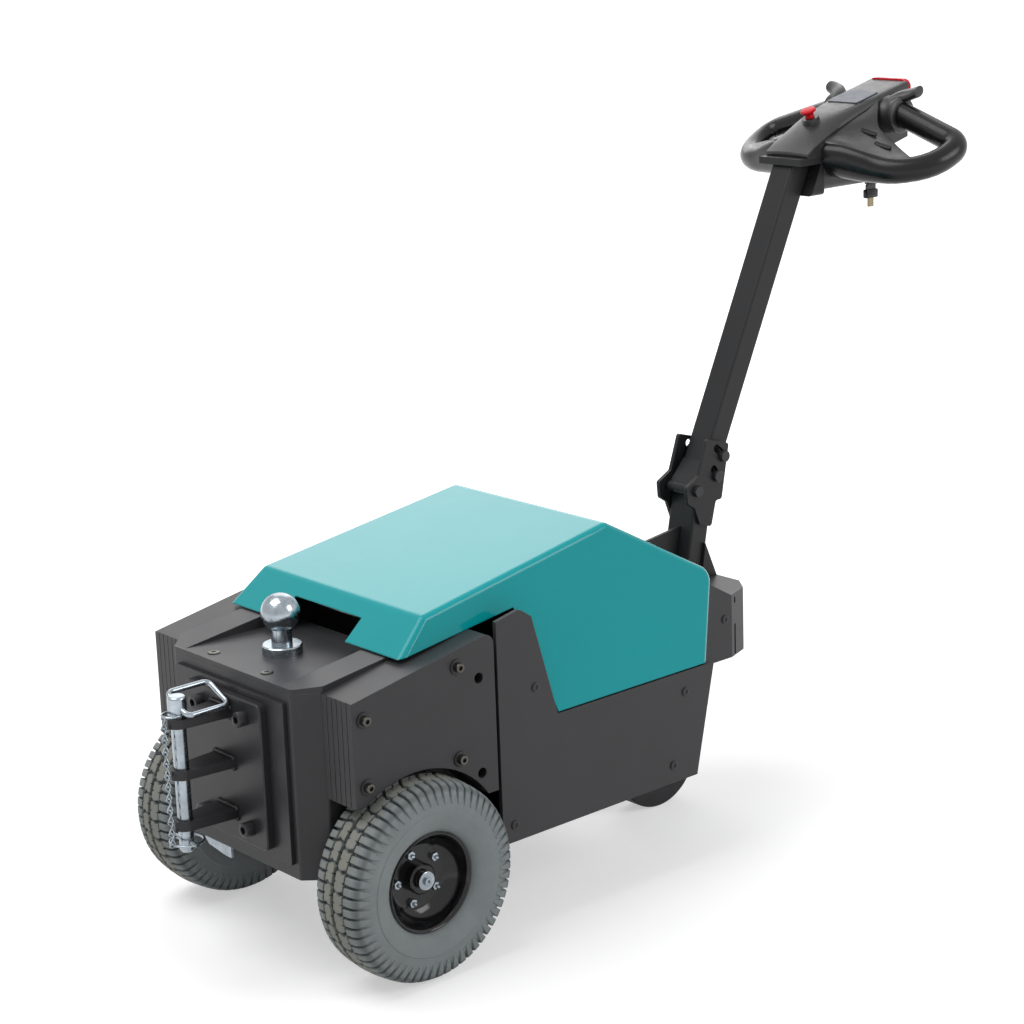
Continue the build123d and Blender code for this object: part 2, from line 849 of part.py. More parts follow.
# Tail box: closed sheet housing that carries the castor and the tiller, its front along the hood's tail
tail_front_x = hood_rear_x - tail_slope * (hood_rear_z - tail_front_z) + hood_gap
tail_step_x = tail_front_x - tail_slope * (tail_front_z - tray_rear_top_z)
tail_plan = [
    (tray_rear_x, -tail_half_width),
    (tail_flat_x, -tail_half_width),
    (tail_cheek_x, -tail_cheek_y),
    (tail_rear_x, -tail_corner_y),
    (tail_rear_x, tail_corner_y),
    (tail_cheek_x, tail_cheek_y),
    (tail_flat_x, tail_half_width),
    (tray_rear_x, tail_half_width),
]
tail_profile = [
    (tray_rear_x, tail_bottom_z),
    (tail_rear_x, tail_bottom_z),
    (tail_rear_x, tail_top_z),
    (tail_flat_x, tail_top_z),
    (tail_front_x, tail_front_z),
    (tail_step_x, tray_rear_top_z),
    (tray_rear_x, tray_rear_top_z),
]
tail_forms = []
for inset in (0.0, tail_wall):
    with BuildPart() as tail_form:
        with BuildSketch(lengthwise):
            with BuildLine():
                Polyline(*tail_profile, close=True)
            make_face()
            if inset:
                offset(amount=-inset, kind=Kind.INTERSECTION, mode=Mode.REPLACE)
        extrude(amount=tail_half_width, both=True)
        with BuildSketch(level(tail_bottom_z)) as tail_outline:
            with BuildLine():
                Polyline(*tail_plan, close=True)
            make_face()
            fillet(tail_outline.vertices().sort_by(Axis.X)[2:], radius=tail_bend)
            if inset:
                offset(amount=-inset, kind=Kind.INTERSECTION, mode=Mode.REPLACE)
        extrude(amount=tail_front_z - tail_bottom_z, mode=Mode.INTERSECT)
    tail_forms.append(tail_form.part)
with BuildPart() as tail_box:
    add(tail_forms[0])
    add(tail_forms[1], mode=Mode.SUBTRACT)
    for slot_bottom_z, slot_top_z in tail_slots_z:
        for name, side in sides:
            with BuildSketch(side_plane(side, tail_cheek_y, tail_half_width)):
                with Locations((tail_slot_x, (slot_bottom_z + slot_top_z) / 2)):
                    Rectangle(tail_slot_width, slot_top_z - slot_bottom_z)
            extrude(amount=tail_half_width - tail_cheek_y, mode=Mode.SUBTRACT)
tail_box.part.label = "tail_box"
export_step(tail_box.part, "parts/tail_box.step")

# Castor mount: plate under the tail box, bearing head and kingpin
castor_plate_z = tail_bottom_z - castor_plate_thick
head_foot_z = castor_crown_z + castor_crown_thick + seat_gap
with BuildPart() as castor_mount:
    with BuildSketch(level(head_foot_z)):
        with Locations((castor_x, 0)):
            Circle(castor_head_radius)
    extrude(amount=castor_plate_z - head_foot_z)
    chamfer(castor_mount.faces().sort_by(Axis.Z)[0].edges(), length=castor_head_bevel)
    with BuildSketch(level(castor_plate_z)):
        with Locations((castor_x, 0)):
            RectangleRounded(castor_plate_length, castor_plate_width, castor_plate_thick)
    extrude(amount=castor_plate_thick)
    with BuildSketch(level(castor_crown_z)):
        with Locations((castor_x, 0)):
            Circle(castor_kingpin_radius)
    extrude(amount=castor_plate_z - castor_crown_z)
castor_mount.part.label = "castor_mount"
export_step(castor_mount.part, "parts/castor_mount.step")

# Castor fork: crown, two trailing legs with round feet, and the wheel's axle bolt
castor_wheel_x = castor_x - castor_trail
leg_inner_y = castor_width / 2 + castor_leg_gap
leg_outer_y = leg_inner_y + castor_leg_thick
with BuildPart() as castor_fork:
    with BuildSketch(level(castor_crown_z)):
        with Locations((castor_x, 0)):
            Circle(castor_crown_radius)
            Circle(castor_kingpin_radius + pin_clearance, mode=Mode.SUBTRACT)
    extrude(amount=castor_crown_thick)
    for name, side in sides:
        with BuildSketch(side_plane(side, leg_inner_y, leg_outer_y)):
            with BuildLine():
                Polyline(
                    (castor_x - castor_leg_top, castor_crown_z + castor_crown_thick),
                    (castor_wheel_x - castor_leg_foot, castor_radius),
                    (castor_wheel_x + castor_leg_foot, castor_radius),
                    (castor_x + castor_leg_top, castor_crown_z),
                    (castor_x + castor_leg_top, castor_crown_z + castor_crown_thick),
                    close=True,
                )
            make_face()
            with Locations((castor_wheel_x, castor_radius)):
                Circle(castor_leg_foot)
        extrude(amount=castor_leg_thick)
        with BuildSketch(side_plane(side, leg_outer_y, leg_outer_y + castor_nut_height)):
            with Locations((castor_wheel_x, castor_radius)):
                RegularPolygon(castor_nut_radius, 6)
        extrude(amount=castor_nut_height)
    with BuildSketch(lengthwise):
        with Locations((castor_wheel_x, castor_radius)):
            Circle(castor_bore_radius - pin_clearance)
    extrude(amount=leg_outer_y, both=True)
castor_fork.part.label = "castor_fork"
export_step(castor_fork.part, "parts/castor_fork.step")

# Castor wheel: flat-treaded rubber tyre on a light rim with a bushed hub
castor_section = Plane(origin=(axle_x + castor_wheel_x, 0, castor_radius), x_dir=(0, 1, 0), z_dir=(1, 0, 0))
castor_axis = Axis(castor_section.origin, (0, 1, 0))
castor_half = castor_width / 2
rim_half = castor_half - castor_rim_lip
with BuildPart() as castor_tyre:
    with BuildSketch(castor_section) as castor_tread:
        with BuildLine():
            Polyline(
                (-castor_half, castor_radius),
                (-castor_half, castor_rim_radius + castor_rim_lip),
                (-rim_half, castor_rim_radius),
                (rim_half, castor_rim_radius),
                (castor_half, castor_rim_radius + castor_rim_lip),
                (castor_half, castor_radius),
                close=True,
            )
        make_face()
        fillet(castor_tread.vertices().group_by(Axis.Y)[-1], radius=castor_tread_round)
    revolve(axis=castor_axis)
castor_tyre.part.label = "castor_tyre"
export_step(castor_tyre.part, "parts/castor_tyre.step")

rim_outer = castor_rim_radius - seat_gap
hub_half = leg_inner_y - seat_gap
with BuildPart() as castor_rim:
    with BuildSketch(castor_section):
        with BuildLine():
            Polyline(
                (-rim_half, rim_outer),
                (rim_half, rim_outer),
                (rim_half, rim_outer - castor_rim_lip),
                (castor_web_half, rim_outer - castor_web_drop),
                (castor_web_half, castor_hub_radius),
                (hub_half, castor_hub_radius),
                (hub_half, castor_bore_radius),
                (-hub_half, castor_bore_radius),
                (-hub_half, castor_hub_radius),
                (-castor_web_half, castor_hub_radius),
                (-castor_web_half, rim_outer - castor_web_drop),
                (-rim_half, rim_outer - castor_rim_lip),
                close=True,
            )
        make_face()
    revolve(axis=castor_axis)
castor_rim.part.label = "castor_rim"
export_step(castor_rim.part, "parts/castor_rim.step")

# Tiller foot: leaning rectangular tube welded on the tail box
foot_across = leaning(foot_x, tail_top_z, foot_tan)
with BuildPart() as tiller_foot:
    with BuildSketch(foot_across.offset(-foot_depth)):
        RectangleRounded(2 * foot_half_width, foot_depth, foot_round)
        Rectangle(2 * (foot_half_width - foot_wall), foot_depth - 2 * foot_wall, mode=Mode.SUBTRACT)
    extrude(amount=foot_top_z - tail_top_z + 2 * foot_depth)
    split(bisect_by=Plane.XY.offset(tail_top_z), keep=Keep.TOP)
    split(bisect_by=Plane.XY.offset(foot_top_z), keep=Keep.BOTTOM)
tiller_foot.part.label = "tiller_foot"
export_step(tiller_foot.part, "parts/tiller_foot.step")

# Gussets: a long fin before the foot along the box's slope, and a short one on each side behind it
foot_front_x = foot_x - foot_depth / 2 * math.sqrt(1 + foot_tan**2) - seat_gap
with BuildPart() as tiller_gussets:
    with BuildSketch(lengthwise):
        with BuildLine():
            Polyline(
                (foot_front_x + foot_tan * (fin_top_z - tail_top_z), fin_top_z),
                (fin_knee_x, fin_knee_z),
                (fin_toe_x, fin_toe_z),
                (tail_front_x, tail_front_z),
                (tail_flat_x, tail_top_z),
                (foot_front_x, tail_top_z),
                close=True,
            )
        make_face()
    extrude(amount=gusset_thick / 2, both=True)
    for name, side in sides:
        with BuildSketch(side_plane(side, foot_half_width, foot_half_width + gusset_thick)):
            with BuildLine():
                Polyline(
                    (gusset_front_x, tail_top_z),
                    (tail_rear_x, tail_top_z),
                    (gusset_top_x, gusset_top_z),
                    close=True,
                )
            make_face()
        extrude(amount=gusset_thick)
tiller_gussets.part.label = "tiller_gussets"
export_step(tiller_gussets.part, "parts/tiller_gussets.step")

# Hinge plates on the foot, slotted round the pivot for the clamp bolts
hinge_outline = [
    (698.0, 535.0),
    (742.0, 522.0),
    (726.0, 442.0),
    (714.0, 442.0),
    (704.0, 405.0),
    (681.0, 412.0),
    (671.0, 438.0),
    (657.0, 447.0),
    (655.0, 471.0),
    (680.0, 484.0),
]
for name, side in sides:
    with BuildPart() as hinge_plate:
        with BuildSketch(side_plane(side, foot_half_width, foot_half_width + hinge_plate_thick)):
            with BuildLine():
                FilletPolyline(*hinge_outline, radius=hinge_plate_round, close=True)
            make_face()
            with Locations((hinge_x, hinge_z)):
                Circle(hinge_pin_radius, mode=Mode.SUBTRACT)
            for reach, angle in clamp_spots:
                with BuildLine(mode=Mode.PRIVATE) as slot_arc:
                    CenterArc((hinge_x, hinge_z), reach, angle, clamp_travel)
                SlotArc(
                    slot_arc.edges()[0],
                    2 * (clamp_bolt_radius + clamp_slot_clearance),
                    mode=Mode.SUBTRACT,
                )
        extrude(amount=hinge_plate_thick)
    hinge_plate.part.label = f"hinge_plate_{name}"
    export_step(hinge_plate.part, f"parts/hinge_plate_{name}.step")

# Pivot pin across the plates
hinge_outer_y = foot_half_width + hinge_plate_thick
with BuildPart() as hinge_pin:
    with BuildSketch(lengthwise):
        with Locations((hinge_x, hinge_z)):
            Circle(hinge_pin_radius)
    extrude(amount=hinge_outer_y, both=True)
    for name, side in sides:
        with BuildSketch(side_plane(side, hinge_outer_y, hinge_outer_y + clamp_head_height)):
            with Locations((hinge_x, hinge_z)):
                RegularPolygon(clamp_head_radius, 6)
        extrude(amount=clamp_head_height)
hinge_pin.part.label = "hinge_pin"
export_step(hinge_pin.part, "parts/hinge_pin.step")

# Tiller tube with its pivot sleeve
clamp_points = [
    (
        hinge_x + reach * math.cos(math.radians(angle)),
        hinge_z + reach * math.sin(math.radians(angle)),
    )
    for reach, angle in clamp_spots
]
tiller_across = leaning(tiller_mid_x, tiller_mid_z, tiller_tan)
tiller_reach = tiller_depth / 2 * math.sqrt(1 + tiller_tan**2)
tiller_run = tiller_top_z - tiller_bottom_z
sleeve_web_top_z = tiller_bottom_z + sleeve_web_rise


def tiller_x(z):
    """Middle of the tiller tube at a height."""
    return tiller_mid_x + tiller_tan * (z - tiller_mid_z)


with BuildPart() as tiller_tube:
    with BuildSketch(tiller_across.offset(-tiller_run)):
        RectangleRounded(2 * tiller_half_width, tiller_depth, tiller_round)
        Rectangle(
            2 * (tiller_half_width - tiller_wall),
            tiller_depth - 2 * tiller_wall,
            mode=Mode.SUBTRACT,
        )
    extrude(amount=2 * tiller_run)
    split(bisect_by=Plane.XY.offset(tiller_bottom_z), keep=Keep.TOP)
    split(bisect_by=Plane.XY.offset(tiller_top_z), keep=Keep.BOTTOM)
    with BuildSketch(lengthwise):
        with Locations((hinge_x, hinge_z)):
            Circle(sleeve_radius)
        with BuildLine():
            Polyline(
                (hinge_x - sleeve_radius, hinge_z),
                (hinge_x + sleeve_radius, hinge_z),
                (tiller_x(tiller_bottom_z) - tiller_reach + tiller_wall, tiller_bottom_z),
                (tiller_x(sleeve_web_top_z) - tiller_reach + tiller_wall, sleeve_web_top_z),
                (tiller_x(sleeve_web_top_z) - tiller_reach, sleeve_web_top_z),
                close=True,
            )
        make_face()
        with Locations((hinge_x, hinge_z)):
            Circle(hinge_pin_radius + pin_clearance, mode=Mode.SUBTRACT)
    extrude(amount=tiller_half_width, both=True)
    with BuildSketch(lengthwise):
        with Locations(*clamp_points):
            Circle(clamp_bolt_radius)
    extrude(amount=tiller_half_width, both=True, mode=Mode.SUBTRACT)
tiller_tube.part.label = "tiller_tube"
export_step(tiller_tube.part, "parts/tiller_tube.step")

# Clamp bolts through the tube, sliding in the plates' slots
clamp_head_y = hinge_outer_y + seat_gap
with BuildPart() as clamp_bolts:
    with BuildSketch(lengthwise):
        with Locations(*clamp_points):
            Circle(clamp_bolt_radius)
    extrude(amount=clamp_head_y, both=True)
    for name, side in sides:
        with BuildSketch(side_plane(side, clamp_head_y, clamp_head_y + clamp_head_height)):
            with Locations(*clamp_points):
                Circle(clamp_head_radius)
        extrude(amount=clamp_head_height)
    chamfer(clamp_bolts.edges().filter_by(GeomType.CIRCLE).group_by(Axis.Y)[0], length=clamp_head_bevel)
    chamfer(clamp_bolts.edges().filter_by(GeomType.CIRCLE).group_by(Axis.Y)[-1], length=clamp_head_bevel)
clamp_bolts.part.label = "clamp_bolts"
export_step(clamp_bolts.part, "parts/clamp_bolts.step")

# Head bracket: cap on the tube's end and block behind it
with BuildPart() as head_bracket:
    with BuildSketch(lengthwise):
        with BuildLine():
            Polyline(
                (tiller_x(bracket_bottom_z) + tiller_reach, bracket_bottom_z),
                (bracket_rear_x, bracket_bottom_z),
                (bracket_rear_x, head_seam_z),
                (bracket_front_x, head_seam_z),
                (bracket_front_x, tiller_top_z),
                (tiller_x(tiller_top_z) + tiller_reach, tiller_top_z),
                close=True,
            )
        make_face()
    extrude(amount=head_half_width, both=True)
    fillet(head_bracket.edges().filter_by(Axis.X).group_by(Axis.Z)[0], radius=bracket_round)
head_bracket.part.label = "head_bracket"
export_step(head_bracket.part, "parts/head_bracket.step")

# Sections of the control head: place, height of the side edge, half width and height of the crown
head_sections = [
    (903.0, 919.0, 22.0, 920.5),
    (930.0, 936.0, 16.0, 944.0),
    (954.0, 947.0, 14.0, 962.0),
    (1000.0, 965.5, 27.0, 977.0),
    (1040.0, 979.5, 34.0, 986.6),
    (1124.0, 1003.0, 31.0, 1007.0),
]
crown_z = {place: height for place, edge, width, height in head_sections}
head_rear_x = head_sections[-1][0]
stop_z = crown_z[stop_x]
stop_plane = Plane(
    origin=(axle_x + stop_x, 0, stop_z),
    x_dir=(0, 1, 0),
    z_dir=(-math.sin(math.radians(stop_lean)), 0, math.cos(math.radians(stop_lean))),
)

# Head housing: faceted upper shell drawn through its sections, on a plain lower box
with BuildPart() as head_housing:
    for place_x, edge_z, crown_half_width, top_z in head_sections:
        with BuildSketch(upright(place_x)):
            with BuildLine():
                Polyline(
                    (-head_half_width, head_seam_z),
                    (head_half_width, head_seam_z),
                    (head_half_width, edge_z),
                    (crown_half_width, top_z),
                    (-crown_half_width, top_z),
                    (-head_half_width, edge_z),
                    close=True,
                )
            make_face()
    loft(ruled=True)
    with BuildSketch(lengthwise):
        with BuildLine():
            Polyline(
                (head_jaw_x, head_seam_z),
                (head_rear_x, head_seam_z),
                (head_rear_x, head_tail_z),
                close=True,
            )
        make_face()
    extrude(amount=head_half_width, both=True, mode=Mode.SUBTRACT)
    with BuildSketch(lengthwise):
        with BuildLine():
            Polyline(
                (bracket_rear_x, head_seam_z),
                (bracket_rear_x, head_chin_z),
                (head_chin_x, head_chin_z),
                (head_jaw_x, head_seam_z),
                close=True,
            )
        make_face()
    extrude(amount=head_half_width, both=True)
    fillet(head_housing.edges().filter_by(Axis.X).group_by(Axis.Z)[0], radius=head_chin_round)
    with BuildSketch(stop_plane.offset(-stop_collar_height)):
        Circle(stop_collar_radius)
    extrude(amount=2 * stop_collar_height)
head_housing.part.label = "head_housing"
export_step(head_housing.part, "parts/head_housing.step")

# Belly button: rounded bumper across the head's rear end
with BuildPart() as belly_button:
    with BuildSketch(upright(head_rear_x)):
        with Locations((0, (belly_bottom_z + belly_top_z) / 2)):
            RectangleRounded(2 * belly_half_width, belly_top_z - belly_bottom_z, belly_corner)
    extrude(amount=belly_depth)
    fillet(belly_button.faces().sort_by(Axis.X)[-1].edges(), radius=belly_round)
belly_button.part.label = "belly_button"
export_step(belly_button.part, "parts/belly_button.step")

# Middle line of a grip on its plane: distances rearward and outward
grip_corners = [
    (-19.0, -73.0),
    (12.0, 87.0),
    (82.0, 87.0),
    (106.0, 87.0),
    (131.0, -41.0),
]
# Wing and front rib of a grip by their sections: outward place, front and rear edge, under and upper side
grip_wings = [
    [(-73.0, -30.0, 74.0, -20.0, 20.0), (42.0, 4.0, 37.0, -10.0, 12.0)],
    [(-73.0, -48.0, -4.0, -20.0, 31.0), (42.0, -6.0, 20.0, -10.0, 12.0)],
]
# Thumb lever seen from above: distance along it and from the machine's middle
lever_outline = [
    (0.0, 46.0),
    (0.0, 64.0),
    (28.0, 90.0),
    (37.0, 90.0),
    (39.0, 66.0),
    (16.0, 46.0),
]
lever_turn = math.radians(lever_rise)

# Grip loops and throttles
for name, side in sides:
    loop_plane = Plane(
        origin=(axle_x + loop_x, side * loop_y, loop_z),
        x_dir=(1, 0, loop_climb),
        z_dir=(-loop_climb, side * loop_fall, 1),
    )
    grip_points = [(along, side * out) for along, out in grip_corners]
    with BuildPart() as grip_loop:
        with BuildLine(loop_plane) as grip_path:
            grip_line = FilletPolyline(*grip_points[:3], radius=grip_elbow_bend)
            FilletPolyline(*grip_points[2:], radius=grip_corner_bend)
        root_across = Plane(origin=grip_line @ 0, x_dir=loop_plane.z_dir, z_dir=grip_line % 0)
        with BuildSketch(root_across):
            Circle(grip_radius)
        sweep(path=grip_path.line)
        with BuildSketch(root_across):
            Ellipse(grip_root_height / 2, grip_root_width / 2)
        with BuildSketch(root_across.offset(grip_root_run)):
            Circle(grip_radius)
        loft(ruled=True)
        for wing_sections in grip_wings:
            for out, front, rear, under, upper in wing_sections:
                wing_across = Plane(
                    origin=loop_plane.from_local_coords((0, side * out, 0)),
                    x_dir=loop_plane.x_dir,
                    z_dir=-loop_plane.y_dir,
                )
                with BuildSketch(wing_across):
                    with Locations(((front + rear) / 2, (under + upper) / 2)):
                        Rectangle(rear - front, upper - under)
            loft(ruled=True)
        with Locations((axle_x + loop_x, 0, loop_z)):
            Box(2 * (throttle_x - loop_x), 2 * head_half_width, grip_cut_height, mode=Mode.SUBTRACT)
        with Locations((axle_x + throttle_x, 0, throttle_z)):
            Box(2 * throttle_radius, 2 * throttle_outer_y, grip_cut_height, mode=Mode.SUBTRACT)
    grip_loop.part.label = f"grip_loop_{name}"
    export_step(grip_loop.part, f"parts/grip_loop_{name}.step")

    lever_plane = Plane(
        origin=(axle_x + lever_x, 0, lever_z),
        x_dir=(math.cos(lever_turn), 0, math.sin(lever_turn)),
        z_dir=(-math.sin(lever_turn), 0, math.cos(lever_turn)),
    )
    with BuildPart() as throttle:
        with BuildSketch(side_plane(side, head_half_width, throttle_outer_y)):
            with Locations((throttle_x, throttle_z)):
                Circle(throttle_radius)
        extrude(amount=throttle_outer_y - head_half_width)
        chamfer(throttle.faces().sort_by(Axis.Y)[-1 if side > 0 else 0].edges(), length=throttle_bevel)
        with BuildSketch(lever_plane.offset(-lever_thick)):
            with BuildLine():
                lever_points = [(along, side * out) for along, out in lever_outline]
                FilletPolyline(*lever_points, radius=lever_round, close=True)
            make_face()
        extrude(amount=lever_thick)
    throttle.part.label = f"throttle_{name}"
    export_step(throttle.part, f"parts/throttle_{name}.step")

# Emergency stop on the head's collar
with BuildPart() as emergency_stop:
    with BuildSketch(stop_plane.offset(stop_collar_height)):
        Circle(stop_stem_radius)
    extrude(amount=stop_stem_height)
    with BuildSketch(stop_plane.offset(stop_collar_height + stop_stem_height)):
        Circle(stop_radius)
    extrude(amount=stop_height)
    fillet(emergency_stop.faces().sort_by(Axis.Z)[-1].edges(), radius=stop_round)
emergency_stop.part.label = "emergency_stop"
export_step(emergency_stop.part, "parts/emergency_stop.step")

# Display on the head's flat crown
flat_front_x = head_sections[3][0]
crown_rise = crown_z[head_rear_x] - crown_z[flat_front_x]
crown_run = head_rear_x - flat_front_x
display_plane = Plane(
    origin=(axle_x + flat_front_x, 0, crown_z[flat_front_x]),
    x_dir=(crown_run, 0, crown_rise),
    z_dir=(-crown_rise, 0, crown_run),
)
with BuildPart() as display_panel:
    with BuildSketch(display_plane):
        with Locations((display_front_x - flat_front_x + display_length / 2, 0)):
            RectangleRounded(display_length, 2 * display_half_width, display_corner)
    extrude(amount=display_thick)
display_panel.part.label = "display_panel"
export_step(display_panel.part, "parts/display_panel.step")

# Key switch under the head, with the key and its tag
with BuildPart() as key_switch:
    with BuildSketch(level(head_chin_z)):
        with Locations((key_x, -key_y)):
            Circle(key_barrel_radius)
    extrude(amount=-key_barrel_height)
    with BuildSketch(side_plane(-1, key_y - key_bow_thick / 2, key_y + key_bow_thick / 2)):
        with Locations((key_x, head_chin_z - key_barrel_height - key_bow_height / 2)):
            RectangleRounded(key_bow_length, key_bow_height, key_bow_thick)
        with Locations((key_x, head_chin_z - key_barrel_height - key_bow_height - key_tag_height / 2)):
            Rectangle(key_tag_length, key_tag_height)
    extrude(amount=key_bow_thick)
key_switch.part.label = "key_switch"
export_step(key_switch.part, "parts/key_switch.step")
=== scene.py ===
"""Dresses the tow tractor's frame: finishes, tread, fasteners, head trim and studio."""
import json
import math

import bmesh
import bpy
from bpy.props import FloatProperty, FloatVectorProperty, IntProperty, PointerProperty
from bpy.types import Operator, Panel, PropertyGroup
from mathutils import Matrix, Vector


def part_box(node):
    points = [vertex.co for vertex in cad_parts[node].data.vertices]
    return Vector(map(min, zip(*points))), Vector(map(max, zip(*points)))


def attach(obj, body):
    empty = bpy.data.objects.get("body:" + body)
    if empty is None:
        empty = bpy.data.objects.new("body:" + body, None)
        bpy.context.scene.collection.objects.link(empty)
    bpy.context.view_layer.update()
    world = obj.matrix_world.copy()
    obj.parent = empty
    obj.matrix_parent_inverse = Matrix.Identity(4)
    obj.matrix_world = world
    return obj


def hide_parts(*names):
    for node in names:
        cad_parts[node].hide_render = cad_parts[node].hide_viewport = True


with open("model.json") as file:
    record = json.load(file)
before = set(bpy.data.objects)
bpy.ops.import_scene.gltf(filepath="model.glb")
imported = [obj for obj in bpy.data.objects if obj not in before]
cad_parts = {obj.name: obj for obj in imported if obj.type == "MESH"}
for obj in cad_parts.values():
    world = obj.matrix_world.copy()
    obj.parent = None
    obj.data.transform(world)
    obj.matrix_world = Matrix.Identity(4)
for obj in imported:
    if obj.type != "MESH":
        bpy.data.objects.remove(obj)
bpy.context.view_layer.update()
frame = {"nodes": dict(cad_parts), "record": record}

bl_info = {
    "name": "Tow tractor dressing",
    "version": (1, 1, 0),
    "blender": (4, 5, 0),
    "location": "View3D > Sidebar > Tractor",
    "description": "Finishes, tread, fasteners, head trim and studio for the tow tractor's frame",
    "category": "Object",
}

NODES = frame["nodes"]
SLOT_OF = {row["node"]: row["material_slot"] for row in frame["record"]["subparts"]}


def corners(node):
    """Low and high corner of a node's box."""
    low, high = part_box(node)
    return Vector(low), Vector(high)


TYRE_LOW, TYRE_HIGH = corners("tyre_left")
WHEEL = (TYRE_LOW + TYRE_HIGH) / 2
TYRE_RADIUS = (TYRE_HIGH.z - TYRE_LOW.z) / 2
HITCH_FACE_X = corners("hitch_plate")[0].x
SIDE_Y_MM = 1000 * corners("side_panel_right")[1].y
DECK_Z_MM = 1000 * corners("tow_ball")[0].z
SIDES = (("left", -1), ("right", 1))
MERGE_GAP = 0.00001


def behind(x, y, z):
    """A place given by its distance behind the drive axle, across and up, in millimetres."""
    return Vector((WHEEL.x + x / 1000, y / 1000, z / 1000))


def colour(name, text, default):
    """A paint colour that a user may change."""
    return FloatVectorProperty(
        name=name, description=text, default=default, size=3, min=0.0, max=1.0, subtype="COLOR"
    )


def length(name, text, default):
    """A size in metres that a user may change."""
    return FloatProperty(name=name, description=text, default=default, min=0.0, unit="LENGTH")


def number_of(name, text, default, least):
    """A count that a user may change."""
    return IntProperty(name=name, description=text, default=default, min=least, subtype="UNSIGNED")


def bearing(name, text, degrees):
    """A turn of the camera that a user may change."""
    return FloatProperty(name=name, description=text, default=math.radians(degrees), subtype="ANGLE")


def watts(name, text, default):
    """A lamp's power that a user may change."""
    return FloatProperty(name=name, description=text, default=default, min=0.0, unit="POWER")


class TractorPaint(PropertyGroup):
    """Colours of the tractor's finishes."""

    hood: colour("Hood", "Gloss paint of the hood", (0.0, 0.335, 0.36))
    coat: colour("Powder coat", "Powder coat of panels, blocks and deck", (0.034, 0.034, 0.037))
    tiller: colour("Tiller coat", "Darker powder coat of the tiller and its hinge", (0.019, 0.019, 0.0205))
    black: colour("Black steel", "Satin black of hitch plates and rims", (0.026, 0.026, 0.029))
    zinc: colour("Zinc", "Bright zinc plate of ball, pin and bolts", (0.36, 0.405, 0.445))
    brass: colour("Yellow zinc", "Yellow passivated blade of the key", (0.3, 0.25, 0.16))
    oxide: colour("Black oxide", "Blackened screw heads", (0.1, 0.095, 0.085))
    tyre: colour("Tyre", "Grey non-marking rubber of the drive tyres", (0.225, 0.252, 0.256))
    dust: colour("Dust", "Dry dust on the tread", (0.24, 0.235, 0.2))
    rubber: colour("Castor rubber", "Black rubber of the castor", (0.018, 0.018, 0.02))
    plastic: colour("Head plastic", "Grained plastic of the control head", (0.024, 0.024, 0.026))
    grip: colour("Grip plastic", "Smooth plastic of the loop grips", (0.006, 0.006, 0.0065))
    red: colour("Signal red", "Emergency stop and belly button", (0.62, 0.004, 0.014))
    cast: colour("Cast metal", "Drive unit as it is cast", (0.45, 0.45, 0.47))
    castor_rim: colour("Castor rim", "Moulded rim of the castor", (0.42, 0.43, 0.43))
    battery: colour("Battery case", "Moulded case of the battery", (0.03, 0.03, 0.034))
    screen: colour("Screen", "Window of the display", (0.075, 0.086, 0.108))


class TractorFittings(PropertyGroup):
    """Sizes of the tread and the fasteners."""

    lugs: number_of("Lugs", "Tread lugs in one turn of a drive tyre", 60, 12)
    bolts: number_of("Wheel bolts", "Bolts through each drive wheel's disc", 5, 3)
    bolt_circle: length("Bolt circle", "Radius of the wheel bolts' circle", 0.0335)
    screw: length("Panel screw", "Radius of the panel screws' heads", 0.0062)
    block_bolt: length("Block bolt", "Radius of the ballast bolts' heads", 0.0062)
    hitch_screw: length("Hitch screw", "Radius of the hitch plate's cap screws", 0.0098)


class TractorStudio(PropertyGroup):
    """Camera, floor and lamps."""

    eye: FloatVectorProperty(
        name="Eye", description="Place of the camera", size=3, subtype="TRANSLATION",
        default=(-2.183355, -2.420402, 1.342289),
    )
    yaw: bearing("Yaw", "Turn of the view from the +Y axis", 40.67066)
    pitch: bearing("Pitch", "Tilt of the view above the level", -14.92108)
    roll: bearing("Roll", "Turn of the picture about the view", -2.04159)
    lens: FloatProperty(
        name="Lens", description="Focal length on a 36 mm sensor", default=85.680, unit="CAMERA"
    )
    key_power: watts("Key power", "Power of the large lamp over the hitch side", 105.0)
    rim_power: watts("Rim power", "Power of the lamp behind the tiller", 54.0)
    side_power: watts("Side power", "Power of the lamp on the near side", 48.0)
    sky: FloatProperty(
        name="Sky", description="Strength of the even light", default=0.36, min=0.0, max=1.0, subtype="FACTOR"
    )


# Finishes

class Nodes:
    """A node tree, with short ways to add nodes and join them."""

    def __init__(self, tree):
        self.tree = tree

    def add(self, kind, **values):
        """Adds a node, with numbers set on its sockets and sockets joined to them."""
        node = self.tree.nodes.new(kind)
        for key, value in values.items():
            if key[0].isupper():
                self.feed(node.inputs[key.replace("_", " ")], value)
            else:
                setattr(node, key, value)
        return node

    def feed(self, socket, value):
        """Joins an output to a socket, or sets the socket's own value."""
        if isinstance(value, bpy.types.NodeSocket):
            self.tree.links.new(value, socket)
        else:
            socket.default_value = value

    def span(self, value, low, high, to_low=0.0, to_high=1.0):
        """Stretches one range of a value on another."""
        node = self.add(
            "ShaderNodeMapRange", Value=value, From_Min=low, From_Max=high, To_Min=to_low, To_Max=to_high
        )
        return node.outputs["Result"]

    def math(self, operation, first, second=0.0):
        """One sum of two values."""
        node = self.add("ShaderNodeMath", operation=operation)
        self.feed(node.inputs[0], first)
        self.feed(node.inputs[1], second)
        return node.outputs["Value"]

    def seen(self):
        """One for the rays that show a surface itself, and nothing for those that only light."""
        path = self.add("ShaderNodeLightPath").outputs
        either = self.math("MAXIMUM", path["Is Camera Ray"], path["Is Glossy Ray"])
        return self.math("MAXIMUM", either, path["Is Transmission Ray"])


